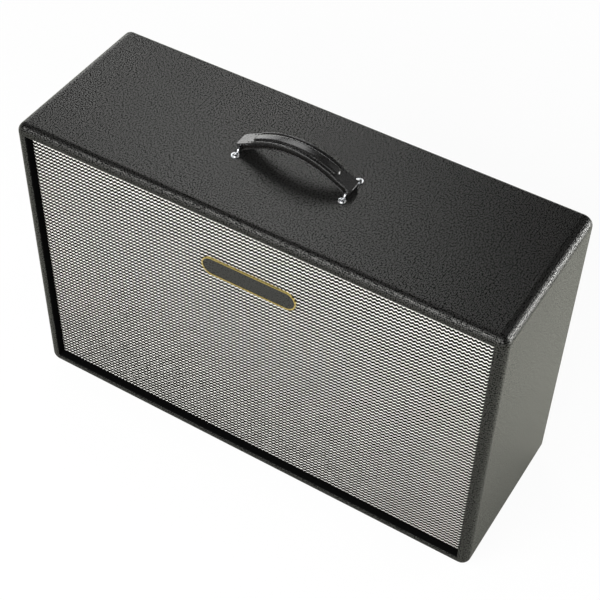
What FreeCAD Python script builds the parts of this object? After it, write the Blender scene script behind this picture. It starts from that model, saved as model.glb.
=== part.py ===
"""Closed-back guitar cabinet for two twelve-inch speakers, as separate pieces.

Millimetres. +Z is up, +X is to the right seen from the front, the grille faces -Y.
The origin lies on the floor under the middle of the cabinet.
"""

import FreeCAD
import Part

import math
import os

# Shell: outside sizes over the covering, without the feet.
CABINET_WIDTH = 750.0
CABINET_DEPTH = 260.0
CABINET_HEIGHT = 490.0
CORNER_RADIUS = 15.0
FRONT_ROUNDOVER = 12.0
REAR_ROUNDOVER = 6.0
RIM_EDGE_RADIUS = 3.0
PANEL_THICKNESS = 16.0
VINYL_THICKNESS = 0.8
FINGER_COUNT = 13

# Rubber feet.
FOOT_HEIGHT = 12.0
FOOT_TOP_RADIUS = 19.0
FOOT_BOTTOM_RADIUS = 16.0
FOOT_WELL_RADIUS = 8.0
FOOT_INSET_X = 60.0
FOOT_INSET_Y = 50.0

# Grille: the cloth lies back from the front edge.
GRILLE_RECESS = 11.0
GRILLE_GAP = 1.0
CLOTH_THICKNESS = 0.8
CLOTH_FLAP = 18.0
FRAME_THICKNESS = 9.0
FRAME_RAIL = 45.0
FRAME_STILE = 50.0
PAD_THICKNESS = 1.6
PAD_LENGTH = 50.0
PAD_WIDTH = 18.0

# Plain plate on the grille.
BADGE_LENGTH = 150.0
BADGE_HEIGHT = 32.0
BADGE_THICKNESS = 2.4
BADGE_RIM = 2.0
BADGE_FIELD_DEPTH = 0.8
BADGE_DROP = 114.0
BADGE_PIN_RADIUS = 1.5
BADGE_PIN_LENGTH = 7.0
BADGE_PIN_SPACING = 30.0

# Baffle, cleats and brace.
BAFFLE_THICKNESS = 18.0
BAFFLE_GAP = 0.5
CLEAT_SECTION = 18.0
BRACE_SECTION = 38.0

# Rear panel, set in from the rear edge.
REAR_RECESS = 8.0
REAR_GAP = 1.5
REAR_PANEL_THICKNESS = 12.0
CUP_WASHER_RADIUS = 7.0
CUP_WASHER_HEIGHT = 2.4

# Speakers: each fills half of the inner width, less the cleats and some room.
SPEAKER_ROOM = 6.6
FLANGE_WIDTH = 13.0
BOLT_EDGE = 6.0
GASKET_THICKNESS = 3.0
BASKET_SHEET = 1.6
BASKET_WINDOWS = 8
SURROUND_WIDTH = 19.8
CONE_DEPTH = 59.0
CONE_BOW = 5.0
PAPER_THICKNESS = 0.8
SURROUND_ROLLS = 3
SPIDER_ROLLS = 5
ROLL_SHARE = 0.22
SPIDER_DEPTH = 5.0
BASKET_NECK = 18.0
COIL_RADIUS = 22.25
COIL_HEIGHT = 10.0
COIL_GAP = 0.65
DUST_CAP_RADIUS = 36.0
DUST_CAP_HEIGHT = 12.0
FRONT_PLATE_THICKNESS = 8.0
PLATE_RADIUS = 60.0
MAGNET_RADIUS = 78.0
MAGNET_HOLE_RADIUS = 32.0
MAGNET_THICKNESS = 20.0

# Strap handle on two wire loops; heights are over the cabinet's top.
HANDLE_SPAN = 166.0
HANDLE_RISE = 41.5
HANDLE_BEND = 27.5
HANDLE_WIDTH = 25.0
HANDLE_THICKNESS = 9.9
COVER_THICKNESS = 2.2
COVER_OVERHANG = 4.0
LINING_THICKNESS = 1.8
HANDLE_CORE_WIDTH = 19.0
CROWN_WIDTH = 17.0
CROWN_HEIGHT = 3.5
CROWN_SHARE = 0.9
SEAM_GAP = 0.05
WIRE_RADIUS = 2.0
WIRE_HEIGHT = 7.0
LOOP_SIDE_GAP = 1.6
EYE_RADIUS = 5.6
EYE_THICKNESS = 2.0
HANDLE_LIFT = 2.5
MOVING_GAP = 0.3

# Jack dish in the rear panel and its two sockets.
DISH_WIDTH = 92.0
DISH_HEIGHT = 54.0
DISH_DEPTH = 24.0
DISH_DRAFT = 5.0
DISH_FLANGE = 15.0
DISH_SHEET = 1.2
DISH_RISE = 118.0
JACK_SPACING = 40.0
JACK_BORE_RADIUS = 3.25
JACK_NOSE_RADIUS = 4.75
JACK_NOSE_LENGTH = 6.0
JACK_BODY_WIDTH = 20.0
JACK_BODY_LENGTH = 27.0
JACK_NUT_FLATS = 12.7
JACK_NUT_HEIGHT = 2.5

# Fasteners and leads.
SCREW_RADIUS = 2.0
SCREW_HEAD_RADIUS = 4.2
SCREW_HEAD_HEIGHT = 2.6
BOLT_RADIUS = 2.5
BOLT_HEAD_HEIGHT = 3.5
TEE_BARREL_RADIUS = 3.4
TEE_FLANGE_RADIUS = 9.5
TEE_FLANGE_THICKNESS = 1.5
HOLE_CLEARANCE = 0.15
LEAD_RADIUS = 2.2
LEAD_STEP = 30.0
LEAD_LOW = 40.0
CLIP_WIDTH = 5.0
CLIP_WALL = 0.9
CLIP_FOOT = 5.0
TERMINAL_THICKNESS = 2.0
TERMINAL_WIDTH = 28.0
TERMINAL_BEHIND = 12.0
TERMINAL_BEYOND = 4.0
TAG_LENGTH = 14.0
TAG_WIDTH = 6.0
TAG_SPACING = 16.0
TAG_THICKNESS = 0.8
JACK_TAG_LENGTH = 8.0

# Stations that follow from the sizes.
TOP_Z = FOOT_HEIGHT + CABINET_HEIGHT
MIDDLE_Z = FOOT_HEIGHT + CABINET_HEIGHT / 2
FRONT_Y = -CABINET_DEPTH / 2
REAR_Y = CABINET_DEPTH / 2
CAVITY_X = CABINET_WIDTH / 2 - VINYL_THICKNESS - PANEL_THICKNESS
CAVITY_LOW_Z = FOOT_HEIGHT + VINYL_THICKNESS + PANEL_THICKNESS
CAVITY_HIGH_Z = TOP_Z - VINYL_THICKNESS - PANEL_THICKNESS
CLOTH_FRONT_Y = FRONT_Y + GRILLE_RECESS
FRAME_FRONT_Y = CLOTH_FRONT_Y + CLOTH_THICKNESS
FRAME_REAR_Y = FRAME_FRONT_Y + FRAME_THICKNESS
BAFFLE_FRONT_Y = FRAME_REAR_Y + 2 * PAD_THICKNESS
BAFFLE_REAR_Y = BAFFLE_FRONT_Y + BAFFLE_THICKNESS
REAR_FACE_Y = REAR_Y - REAR_RECESS
PANEL_REAR_Y = REAR_FACE_Y - VINYL_THICKNESS
PANEL_FRONT_Y = PANEL_REAR_Y - REAR_PANEL_THICKNESS
SPEAKER_X = CAVITY_X / 2
SPEAKER_RADIUS = SPEAKER_X - CLEAT_SECTION - SPEAKER_ROOM
SPEAKER_CUTOUT_RADIUS = SPEAKER_RADIUS - FLANGE_WIDTH
BOLT_CIRCLE_RADIUS = SPEAKER_RADIUS - BOLT_EDGE
CONE_RADIUS = SPEAKER_CUTOUT_RADIUS - SURROUND_WIDTH
FLANGE_REAR_Y = GASKET_THICKNESS + BASKET_SHEET
SIDES = (-1, 1)
CORNERS = [(x, other) for x in SIDES for other in SIDES]


def vec(x, y, z):
    return FreeCAD.Vector(x, y, z)


X_AXIS = vec(1, 0, 0)
Y_AXIS = vec(0, 1, 0)
Z_AXIS = vec(0, 0, 1)
ORIGIN = vec(0, 0, 0)


def block(x_span, y_span, z_span):
    """A box between two values on each axis."""
    low = [min(span) for span in (x_span, y_span, z_span)]
    size = [abs(span[1] - span[0]) for span in (x_span, y_span, z_span)]
    return Part.makeBox(*size, vec(*low))


def rod(radius, start, end):
    """A cylinder from one point to another."""
    run = end - start
    return Part.makeCylinder(radius, run.Length, start, run)


def join(shapes):
    whole = shapes[0]
    for shape in shapes[1:]:
        whole = whole.fuse(shape)
    return whole.removeSplitter()


def drill(shape, tools):
    return shape.cut(Part.makeCompound(tools))


def edges_where(shape, test):
    return [edge for edge in shape.Edges if test(edge.BoundBox)]


def polygon(points):
    """A face from points (radius, depth) in the XY plane."""
    corners = [vec(r, y, 0) for r, y in points]
    return Part.Face(Part.makePolygon(corners + corners[:1]))


def turned(face):
    """A face in the XY plane turned about the Y axis."""
    return face.revolve(ORIGIN, Y_AXIS, 360)


def turned_points(*points):
    return turned(polygon(points))


def arc(start, middle, end):
    return Part.Arc(vec(*start, 0), vec(*middle, 0), vec(*end, 0)).toShape()


def line(start, end):
    return Part.makeLine(vec(*start, 0), vec(*end, 0))


def sheet_between(front_edges, thickness):
    """A face from a chain of edges to the same chain set back in Y by the thickness."""
    back_edges = [edge.translated(vec(0, thickness, 0)) for edge in front_edges]
    front = Part.Wire(front_edges)
    first = front.OrderedVertexes[0].Point
    last = front.OrderedVertexes[-1].Point
    back = vec(0, thickness, 0)
    ends = [Part.makeLine(first, first + back), Part.makeLine(last, last + back)]
    return Part.Face(Part.Wire(Part.__sortEdges__(front_edges + ends + back_edges)))


def rolls(inner, outer, depth, count):
    """Alternating arcs along the radius, count of them, as in a pleated edge."""
    pitch = (outer - inner) / count
    height = pitch * ROLL_SHARE
    chain = []
    for index in range(count):
        start = inner + index * pitch
        crest = depth - height if index % 2 == 0 else depth + height
        chain.append(arc((start, depth), (start + pitch / 2, crest), (start + pitch, depth)))
    return chain


def hexagon(flats, height, base, axis):
    """A hexagonal prism that stands on a point along an axis."""
    radius = flats / math.sqrt(3)
    corners = []
    for index in range(7):
        turn = math.radians(60 * index)
        corners.append(vec(radius * math.cos(turn), radius * math.sin(turn), 0))
    prism = Part.Face(Part.makePolygon(corners)).extrude(vec(0, 0, height))
    prism.Placement = FreeCAD.Placement(base, FreeCAD.Rotation(Z_AXIS, axis))
    return prism


def rounded_rectangle(width, height, radius, depth):
    """A closed wire in a plane across the Y axis, centred on it."""
    sheet = Part.makePlane(width, height, vec(-width / 2, depth, -height / 2), vec(0, -1, 0), X_AXIS)
    prism = sheet.extrude(Y_AXIS)
    uprights = edges_where(prism, lambda box: box.YLength > 0.5)
    prism = prism.makeFillet(radius, uprights)
    ends = [face for face in prism.Faces if abs(face.BoundBox.YMax - depth) < 1e-6]
    return ends[0].OuterWire


def pan_screw(seat, axis, length, radius):
    """A screw whose domed head stands on a seat; the shank runs along the axis."""
    head_radius = SCREW_HEAD_RADIUS
    head_height = SCREW_HEAD_HEIGHT
    crown = head_height * 0.45
    outline = [
        Part.makeLine(vec(0, 0, -length), vec(radius, 0, -length)),
        Part.makeLine(vec(radius, 0, -length), vec(radius, 0, 0)),
        Part.makeLine(vec(radius, 0, 0), vec(head_radius, 0, 0)),
        Part.makeLine(vec(head_radius, 0, 0), vec(head_radius, 0, head_height - crown)),
        Part.Arc(
            vec(head_radius, 0, head_height - crown),
            vec(head_radius * 0.55, 0, head_height - crown * 0.3),
            vec(0, 0, head_height),
        ).toShape(),
        Part.makeLine(vec(0, 0, head_height), vec(0, 0, -length)),
    ]
    screw = Part.Face(Part.Wire(outline)).revolve(ORIGIN, Z_AXIS, 360)
    arm = head_radius * 0.5
    wing = head_radius * 0.13
    top = (head_height * 0.45, head_height + 1)
    cross = [block((-arm, arm), (-wing, wing), top), block((-wing, wing), (-arm, arm), top)]
    screw = drill(screw, cross)
    screw.Placement = FreeCAD.Placement(seat, FreeCAD.Rotation(vec(0, 0, -1), axis))
    return screw


def tee_nut(face_point, axis, barrel_length):
    """A tee nut whose flange lies on a face and whose barrel runs along the axis."""
    barrel = rod(TEE_BARREL_RADIUS, face_point, face_point + axis * barrel_length)
    flange = rod(TEE_FLANGE_RADIUS, face_point - axis * TEE_FLANGE_THICKNESS, face_point)
    hole_start = face_point - axis * (TEE_FLANGE_THICKNESS + 1)
    hole = rod(BOLT_RADIUS + HOLE_CLEARANCE, hole_start, face_point + axis * (barrel_length + 1))
    return join([barrel, flange]).cut(hole)


def rounded_shell(inset):
    """The cabinet's outside, set in evenly, with its rounded corners and edges."""
    x_half = CABINET_WIDTH / 2 - inset
    front = FRONT_Y + inset
    rear = REAR_Y - inset
    body = block((-x_half, x_half), (front, rear), (FOOT_HEIGHT + inset, TOP_Z - inset))
    lengthwise = edges_where(body, lambda box: box.YLength > 1)
    body = body.makeFillet(CORNER_RADIUS - inset, lengthwise)
    at_front = edges_where(body, lambda box: box.YMax < front + 0.01)
    body = body.makeFillet(FRONT_ROUNDOVER - inset, at_front)
    at_rear = edges_where(body, lambda box: box.YMin > rear - 0.01)
    return body.makeFillet(REAR_ROUNDOVER - inset, at_rear)


def open_through(body, inset, edge_radius):
    """The body with the cabinet's opening cut right through, its front edge eased."""
    x_half = CAVITY_X - inset
    low = CAVITY_LOW_Z + inset
    high = CAVITY_HIGH_Z - inset
    body = body.cut(block((-x_half, x_half), (FRONT_Y - 1, REAR_Y + 1), (low, high)))
    front = body.BoundBox.YMin

    def on_opening(box):
        inside = box.XMax < x_half + 0.01 and box.XMin > -x_half - 0.01
        return inside and box.ZMin > low - 0.01 and box.ZMax < high + 0.01 and box.YMax < front + 0.01

    return body.makeFillet(edge_radius, edges_where(body, on_opening))


def handle_screw_points(height):
    eye_y = HANDLE_WIDTH / 2 + LOOP_SIDE_GAP + 2 * WIRE_RADIUS + SCREW_HEAD_RADIUS + MOVING_GAP
    return [vec(x * HANDLE_SPAN / 2, y * eye_y, height) for x, y in CORNERS]


def foot_points(height):
    foot_x = CABINET_WIDTH / 2 - FOOT_INSET_X
    foot_y = CABINET_DEPTH / 2 - FOOT_INSET_Y
    return [vec(x * foot_x, y * foot_y, height) for x, y in CORNERS]


def foot_screw_length():
    return FOOT_HEIGHT / 2 + VINYL_THICKNESS + PANEL_THICKNESS * 0.8


def finger_slabs(x_side, z_side, remainder):
    """Every second slab of a corner column, where one panel's fingers give way."""
    pitch = CABINET_DEPTH / FINGER_COUNT
    x_span = (x_side * CAVITY_X, x_side * CABINET_WIDTH)
    z_span = (CAVITY_HIGH_Z, TOP_Z + 1) if z_side > 0 else (0, CAVITY_LOW_Z)
    slabs = []
    for index in range(remainder, FINGER_COUNT, 2):
        start = FRONT_Y + index * pitch
        slabs.append(block(x_span, (start, start + pitch), z_span))
    return slabs


def make_panels(ring):
    """The four ply panels, with finger joints where they meet."""
    wide = (-CABINET_WIDTH, CABINET_WIDTH)
    deep = (-CABINET_DEPTH, CABINET_DEPTH)
    panels = {}
    for name, z_side in (("top_panel", 1), ("bottom_panel", -1)):
        z_span = (CAVITY_HIGH_Z, TOP_Z + 1) if z_side > 0 else (0, CAVITY_LOW_Z)
        give_way = finger_slabs(-1, z_side, 1) + finger_slabs(1, z_side, 1)
        panels[name] = drill(ring.common(block(wide, deep, z_span)), give_way)
    for name, x_side in (("left_side_panel", -1), ("right_side_panel", 1)):
        side = ring.common(block((x_side * CAVITY_X, x_side * CABINET_WIDTH), deep, (0, TOP_Z + 1)))
        panels[name] = drill(side, finger_slabs(x_side, 1, 0) + finger_slabs(x_side, -1, 0))
    barrel = TEE_BARREL_RADIUS + HOLE_CLEARANCE
    down = vec(0, 0, -2 * PANEL_THICKNESS)
    bores = [rod(barrel, point, point + down) for point in handle_screw_points(TOP_Z)]
    panels["top_panel"] = drill(panels["top_panel"], bores)
    reach = vec(0, 0, foot_screw_length() + 1)
    pilot = SCREW_RADIUS + HOLE_CLEARANCE
    pilots = [rod(pilot, point, point + reach) for point in foot_points(FOOT_HEIGHT / 2)]
    panels["bottom_panel"] = drill(panels["bottom_panel"], pilots)
    return panels


def make_covering(ring):
    """The vinyl: over the outside, round the edges and turned in to the baffle and the rear cleats."""
    outside = open_through(rounded_shell(0), VINYL_THICKNESS, RIM_EDGE_RADIUS)
    x_span = (-CAVITY_X, CAVITY_X)
    bare = block(x_span, (BAFFLE_FRONT_Y, PANEL_FRONT_Y), (CAVITY_LOW_Z, CAVITY_HIGH_Z))
    skin = outside.cut(ring).cut(bare)
    hole = BOLT_RADIUS + HOLE_CLEARANCE
    down = vec(0, 0, -4 * VINYL_THICKNESS)
    holes = [rod(hole, point - down, point + down) for point in handle_screw_points(TOP_Z)]
    pilot = SCREW_RADIUS + HOLE_CLEARANCE
    holes += [rod(pilot, point - down, point + down) for point in foot_points(FOOT_HEIGHT)]
    return drill(skin, holes)


def cleats(y_front):
    """Four strips round the inside of the cabinet."""
    y_span = (y_front, y_front + CLEAT_SECTION)
    inner_x = CAVITY_X - CLEAT_SECTION
    low = CAVITY_LOW_Z + CLEAT_SECTION
    high = CAVITY_HIGH_Z - CLEAT_SECTION
    strips = [
        block((-CAVITY_X, CAVITY_X), y_span, (CAVITY_LOW_Z, low)),
        block((-CAVITY_X, CAVITY_X), y_span, (high, CAVITY_HIGH_Z)),
    ]
    for x_side in SIDES:
        strips.append(block((x_side * inner_x, x_side * CAVITY_X), y_span, (low, high)))
    return strips


def perimeter_points(inset, depth, across, upright):
    """Points round the cabinet's inside: rows along top and bottom, columns at the sides."""
    x_half = CAVITY_X - inset
    low = CAVITY_LOW_Z + inset
    high = CAVITY_HIGH_Z - inset
    points = []
    for index in range(across):
        x = -x_half + 2 * x_half * index / (across - 1)
        points += [vec(x, depth, low), vec(x, depth, high)]
    for index in range(1, upright + 1):
        z = low + (high - low) * index / (upright + 1)
        points += [vec(-x_half, depth, z), vec(x_half, depth, z)]
    return points


def baffle_screw_points():
    return perimeter_points(CLEAT_SECTION / 2, BAFFLE_FRONT_Y, 4, 2)


def rear_screw_points():
    points = perimeter_points(CLEAT_SECTION * 2 / 3, REAR_FACE_Y, 4, 2)
    return points + [vec(0, REAR_FACE_Y, MIDDLE_Z)]


def countersunk_screw(face_point, length, spare):
    """A flat-headed screw that runs back along Y, or the hole for it with some spare."""
    head = Part.makeCone(
        SCREW_HEAD_RADIUS + spare, SCREW_RADIUS + spare, SCREW_HEAD_HEIGHT, face_point, Y_AXIS
    )
    neck = face_point + Y_AXIS * SCREW_HEAD_HEIGHT
    shank = rod(SCREW_RADIUS + spare, neck, face_point + Y_AXIS * (length + spare))
    return join([head, shank])


def speaker_bolt_points(x_side, depth):
    offset = BOLT_CIRCLE_RADIUS / math.sqrt(2)
    centre_x = x_side * SPEAKER_X
    return [vec(centre_x + x * offset, depth, MIDDLE_Z + z * offset) for x, z in CORNERS]


def pad_points():
    """Middles of the hook-and-loop pads: four on the side rails, three on each long rail."""
    rail_x = CAVITY_X - VINYL_THICKNESS - GRILLE_GAP - CLOTH_FLAP - PAD_WIDTH
    low = CAVITY_LOW_Z + VINYL_THICKNESS + GRILLE_GAP + CLOTH_FLAP + PAD_WIDTH
    high = CAVITY_HIGH_Z - VINYL_THICKNESS - GRILLE_GAP - CLOTH_FLAP - PAD_WIDTH
    quarter = (high - low) / 4
    upright = [(x * rail_x, MIDDLE_Z + z * quarter) for x, z in CORNERS]
    level = [(x * rail_x / 2, z) for x in (-1, 0, 1) for z in (low, high)]
    return upright, level


def make_pads(y_front):
    y_span = (y_front, y_front + PAD_THICKNESS)
    upright, level = pad_points()
    pads = []
    for x, z in upright:
        x_span = (x - PAD_WIDTH / 2, x + PAD_WIDTH / 2)
        pads.append(block(x_span, y_span, (z - PAD_LENGTH / 2, z + PAD_LENGTH / 2)))
    for x, z in level:
        z_span = (z - PAD_WIDTH / 2, z + PAD_WIDTH / 2)
        pads.append(block((x - PAD_LENGTH / 2, x + PAD_LENGTH / 2), y_span, z_span))
    return pads


def badge_pins(radius, start_y, end_y):
    badge_z = TOP_Z - BADGE_DROP
    pins = []
    for x_side in SIDES:
        x = x_side * BADGE_PIN_SPACING / 2
        pins.append(rod(radius, vec(x, start_y, badge_z), vec(x, end_y, badge_z)))
    return pins


def make_grille():
    """Frame with a middle stile, the cloth drawn over it, and the plain plate pinned on."""
    gap = VINYL_THICKNESS + GRILLE_GAP + CLOTH_THICKNESS
    x_half = CAVITY_X - gap
    low = CAVITY_LOW_Z + gap
    high = CAVITY_HIGH_Z - gap
    body = block((-x_half, x_half), (FRAME_FRONT_Y, FRAME_REAR_Y), (low, high))
    through = (FRAME_FRONT_Y - 1, FRAME_REAR_Y + 1)
    windows = []
    for x_side in SIDES:
        x_span = (x_side * FRAME_STILE / 2, x_side * (x_half - FRAME_RAIL))
        windows.append(block(x_span, through, (low + FRAME_RAIL, high - FRAME_RAIL)))
    pin_holes = badge_pins(BADGE_PIN_RADIUS + HOLE_CLEARANCE, CLOTH_FRONT_Y - 1, FRAME_REAR_Y + 1)
    frame = drill(body, windows + pin_holes)
    cloth_x = x_half + CLOTH_THICKNESS
    cloth_z = (low - CLOTH_THICKNESS, high + CLOTH_THICKNESS)
    cloth_y = (CLOTH_FRONT_Y, FRAME_REAR_Y + CLOTH_THICKNESS)
    wrap = block((-cloth_x, cloth_x), cloth_y, cloth_z)
    open_x = x_half - CLOTH_FLAP
    open_z = (low + CLOTH_FLAP, high - CLOTH_FLAP)
    back = block((-open_x, open_x), (FRAME_REAR_Y - 1, FRAME_REAR_Y + 2), open_z)
    cloth = drill(wrap.cut(body).cut(back), pin_holes)
    return frame, cloth


def make_badge():
    """A plate with round ends, a raised rim and two pins through the cloth."""
    badge_z = TOP_Z - BADGE_DROP
    face_y = CLOTH_FRONT_Y - BADGE_THICKNESS
    end = BADGE_HEIGHT / 2 - 0.01
    outline = Part.Face(rounded_rectangle(BADGE_LENGTH, BADGE_HEIGHT, end, face_y))
    plate = outline.extrude(vec(0, BADGE_THICKNESS, 0))
    field_size = (BADGE_LENGTH - 2 * BADGE_RIM, BADGE_HEIGHT - 2 * BADGE_RIM)
    field = Part.Face(rounded_rectangle(*field_size, end - BADGE_RIM, face_y))
    plate = plate.cut(field.extrude(vec(0, BADGE_FIELD_DEPTH, 0)))
    plate.translate(vec(0, 0, badge_z))
    pins = badge_pins(BADGE_PIN_RADIUS, CLOTH_FRONT_Y - 0.5, CLOTH_FRONT_Y + BADGE_PIN_LENGTH)
    return join([plate] + pins)


def make_rear_panel():
    """The back board, its covering, and the opening for the jack dish in both."""
    gap = VINYL_THICKNESS + REAR_GAP + VINYL_THICKNESS
    x_half = CAVITY_X - gap
    z_span = (CAVITY_LOW_Z + gap, CAVITY_HIGH_Z - gap)
    board = block((-x_half, x_half), (PANEL_FRONT_Y, PANEL_REAR_Y), z_span)
    skin_z = (z_span[0] - VINYL_THICKNESS, z_span[1] + VINYL_THICKNESS)
    skin_x = x_half + VINYL_THICKNESS
    skin = block((-skin_x, skin_x), (PANEL_FRONT_Y, REAR_FACE_Y), skin_z).cut(board)
    size = (DISH_WIDTH + 2, DISH_HEIGHT + 2)
    opening = Part.Face(rounded_rectangle(*size, DISH_HEIGHT / 5, PANEL_FRONT_Y - 1))
    opening = opening.extrude(vec(0, REAR_PANEL_THICKNESS + 4, 0))
    opening.translate(vec(0, 0, dish_z()))
    radius = SCREW_RADIUS + HOLE_CLEARANCE
    back = vec(0, -2 * REAR_PANEL_THICKNESS, 0)
    holes = [rod(radius, point - back, point + back) for point in rear_screw_points()]
    pilot = vec(0, -DISH_SHEET - REAR_PANEL_THICKNESS * 0.8 - HOLE_CLEARANCE, 0)
    holes += [rod(radius, point, point + pilot) for point in dish_screw_points()]
    return drill(board, [opening] + holes), drill(skin, [opening] + holes)


def rear_screw_length():
    return CUP_WASHER_HEIGHT + VINYL_THICKNESS + REAR_PANEL_THICKNESS + CLEAT_SECTION * 0.7


def make_cup_washer(point):
    """A raised finishing washer under a rear screw's head."""
    hole = SCREW_RADIUS + HOLE_CLEARANCE
    neck = SCREW_HEAD_RADIUS + 0.6
    washer = Part.makeCone(CUP_WASHER_RADIUS, neck, CUP_WASHER_HEIGHT, point, Y_AXIS)
    return washer.cut(rod(hole, point - Y_AXIS, point + Y_AXIS * (CUP_WASHER_HEIGHT + 1)))


def dish_z():
    return CAVITY_LOW_Z + DISH_RISE


def dish_screw_points():
    """Seats of the dish screws, on the outer face of its flange."""
    reach_x = DISH_WIDTH / 2 + DISH_FLANGE / 2
    reach_z = DISH_HEIGHT / 2 + DISH_FLANGE / 2
    seat = REAR_FACE_Y + DISH_SHEET
    return [vec(x * reach_x, seat, dish_z() + z * reach_z) for x, z in CORNERS]


def make_jack_dish():
    """A drawn steel dish: flange on the panel, tapering well, flat floor with two socket holes."""
    corner = DISH_HEIGHT / 5
    outer_y = REAR_FACE_Y + DISH_SHEET
    floor_y = outer_y - DISH_DEPTH

    def well(inset, rear, front):
        mouth = rounded_rectangle(DISH_WIDTH - 2 * inset, DISH_HEIGHT - 2 * inset, corner - inset, rear)
        shrink = 2 * inset + 2 * DISH_DRAFT
        floor = rounded_rectangle(DISH_WIDTH - shrink, DISH_HEIGHT - shrink, corner - inset, front)
        return Part.makeLoft([mouth, floor], True, True)

    size = (DISH_WIDTH + 2 * DISH_FLANGE, DISH_HEIGHT + 2 * DISH_FLANGE)
    flange = Part.Face(rounded_rectangle(*size, DISH_FLANGE / 2, REAR_FACE_Y))
    flange = flange.extrude(vec(0, DISH_SHEET, 0))
    dish = join([flange, well(0, REAR_FACE_Y + DISH_SHEET / 2, floor_y)])
    dish = dish.cut(well(DISH_SHEET, outer_y + 0.001, floor_y + DISH_SHEET))
    dish.translate(vec(0, 0, dish_z()))
    holes = []
    for x_side in SIDES:
        centre = vec(x_side * JACK_SPACING / 2, floor_y, dish_z())
        holes.append(rod(JACK_NOSE_RADIUS + HOLE_CLEARANCE, centre - Y_AXIS, centre + Y_AXIS * 4))
    for point in dish_screw_points():
        holes.append(rod(SCREW_RADIUS + HOLE_CLEARANCE, point - Y_AXIS * 3, point + Y_AXIS))
    return drill(dish, holes)


def jack_floor(x_side):
    """The middle of a socket on the inner face of the dish's floor."""
    floor_y = REAR_FACE_Y + DISH_SHEET - DISH_DEPTH
    return vec(x_side * JACK_SPACING / 2, floor_y, dish_z())


def make_jack(x_side):
    """A socket: moulded body behind the floor, threaded nose through it, blind bore, solder tag."""
    seat = jack_floor(x_side)
    half = JACK_BODY_WIDTH / 2
    rear = seat.y - JACK_BODY_LENGTH
    body = block((seat.x - half, seat.x + half), (rear, seat.y), (seat.z - half, seat.z + half))
    body = body.makeChamfer(1.5, edges_where(body, lambda box: box.YLength > 1))
    mouth = seat + Y_AXIS * (DISH_SHEET + JACK_NOSE_LENGTH)
    nose = rod(JACK_NOSE_RADIUS, seat - Y_AXIS, mouth)
    tag_x = (seat.x - TAG_WIDTH / 2, seat.x + TAG_WIDTH / 2)
    tag_z = (seat.z - TAG_THICKNESS / 2, seat.z + TAG_THICKNESS / 2)
    tag = block(tag_x, (rear - JACK_TAG_LENGTH, rear + 1), tag_z)
    bore_end = vec(seat.x, rear + 3, seat.z)
    return join([body, nose, tag]).cut(rod(JACK_BORE_RADIUS, bore_end, mouth + Y_AXIS))


def make_jack_nut(x_side):
    seat = jack_floor(x_side) + Y_AXIS * DISH_SHEET
    nut = hexagon(JACK_NUT_FLATS, JACK_NUT_HEIGHT, seat, Y_AXIS)
    hole = JACK_NOSE_RADIUS + HOLE_CLEARANCE
    return nut.cut(rod(hole, seat - Y_AXIS, seat + Y_AXIS * (JACK_NUT_HEIGHT + 1)))


def make_foot(point):
    """A tapered rubber foot with a well for its screw."""
    half = FOOT_HEIGHT / 2
    foot = Part.makeCone(FOOT_BOTTOM_RADIUS, FOOT_TOP_RADIUS, FOOT_HEIGHT, vec(point.x, point.y, 0), Z_AXIS)
    low_edge = edges_where(foot, lambda box: box.ZMax < 0.01)
    foot = foot.makeFillet(1.5, low_edge)
    bottom = vec(point.x, point.y, 0)
    well = rod(FOOT_WELL_RADIUS, bottom - Z_AXIS, bottom + Z_AXIS * half)
    hole = rod(SCREW_RADIUS + HOLE_CLEARANCE, bottom, bottom + Z_AXIS * (FOOT_HEIGHT + 1))
    return foot.cut(well).cut(hole)


def make_feet():
    feet = []
    washers = []
    screws = []
    washer_height = FOOT_HEIGHT / 10
    for point in foot_points(FOOT_HEIGHT / 2):
        feet.append(make_foot(point))
        seat = point - Z_AXIS * washer_height
        washer = rod(FOOT_WELL_RADIUS - 0.5, seat, point)
        washers.append(washer.cut(rod(SCREW_RADIUS + HOLE_CLEARANCE, seat - Z_AXIS, point + Z_AXIS)))
        screws.append(pan_screw(seat, Z_AXIS, foot_screw_length(), SCREW_RADIUS))
    return feet, washers, screws


def handle_arc():
    """Radius of the strap's outer face and height of its centre: the straight ends clear the wire loops."""
    turn = math.radians(HANDLE_BEND)
    cover = WIRE_RADIUS + MOVING_GAP + LINING_THICKNESS + SEAM_GAP + COVER_THICKNESS
    climb = HANDLE_RISE - WIRE_HEIGHT
    reach = HANDLE_SPAN / 2 * math.sin(turn) - climb * math.cos(turn) + cover
    radius = reach / (1 - math.cos(turn))
    return radius, TOP_Z + HANDLE_RISE - radius


def straight_to_wire():
    """Length of a straight end of the strap, from the bend to the wire."""
    turn = math.radians(HANDLE_BEND)
    _, centre_z = handle_arc()
    height = TOP_Z + WIRE_HEIGHT - centre_z
    return HANDLE_SPAN / 2 * math.cos(turn) - height * math.sin(turn)


def strap(width, outer, inner, straight, corner=0):
    """A strip between two radii: bent in the middle, straight to the ends, corners rounded if asked."""
    _, centre_z = handle_arc()
    centre = vec(0, 0, centre_z)
    y_span = (-width / 2, width / 2)
    z_span = (centre_z + inner, centre_z + outer)
    face = [side for side in block((0, 1), y_span, z_span).Faces if side.BoundBox.XMax < 0.01][0]
    face.rotate(centre, Y_AXIS, -HANDLE_BEND)
    pieces = [face.revolve(centre, Y_AXIS, 2 * HANDLE_BEND)]
    for side in SIDES:
        end = block((0, side * straight), y_span, z_span)
        if corner:
            tips = edges_where(end, lambda box: box.ZLength > 0.1 and abs(box.XMin) > straight / 2)
            end = end.makeFillet(corner, tips)
        end.rotate(centre, Y_AXIS, side * HANDLE_BEND)
        pieces.append(end)
    return join(pieces)


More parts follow.
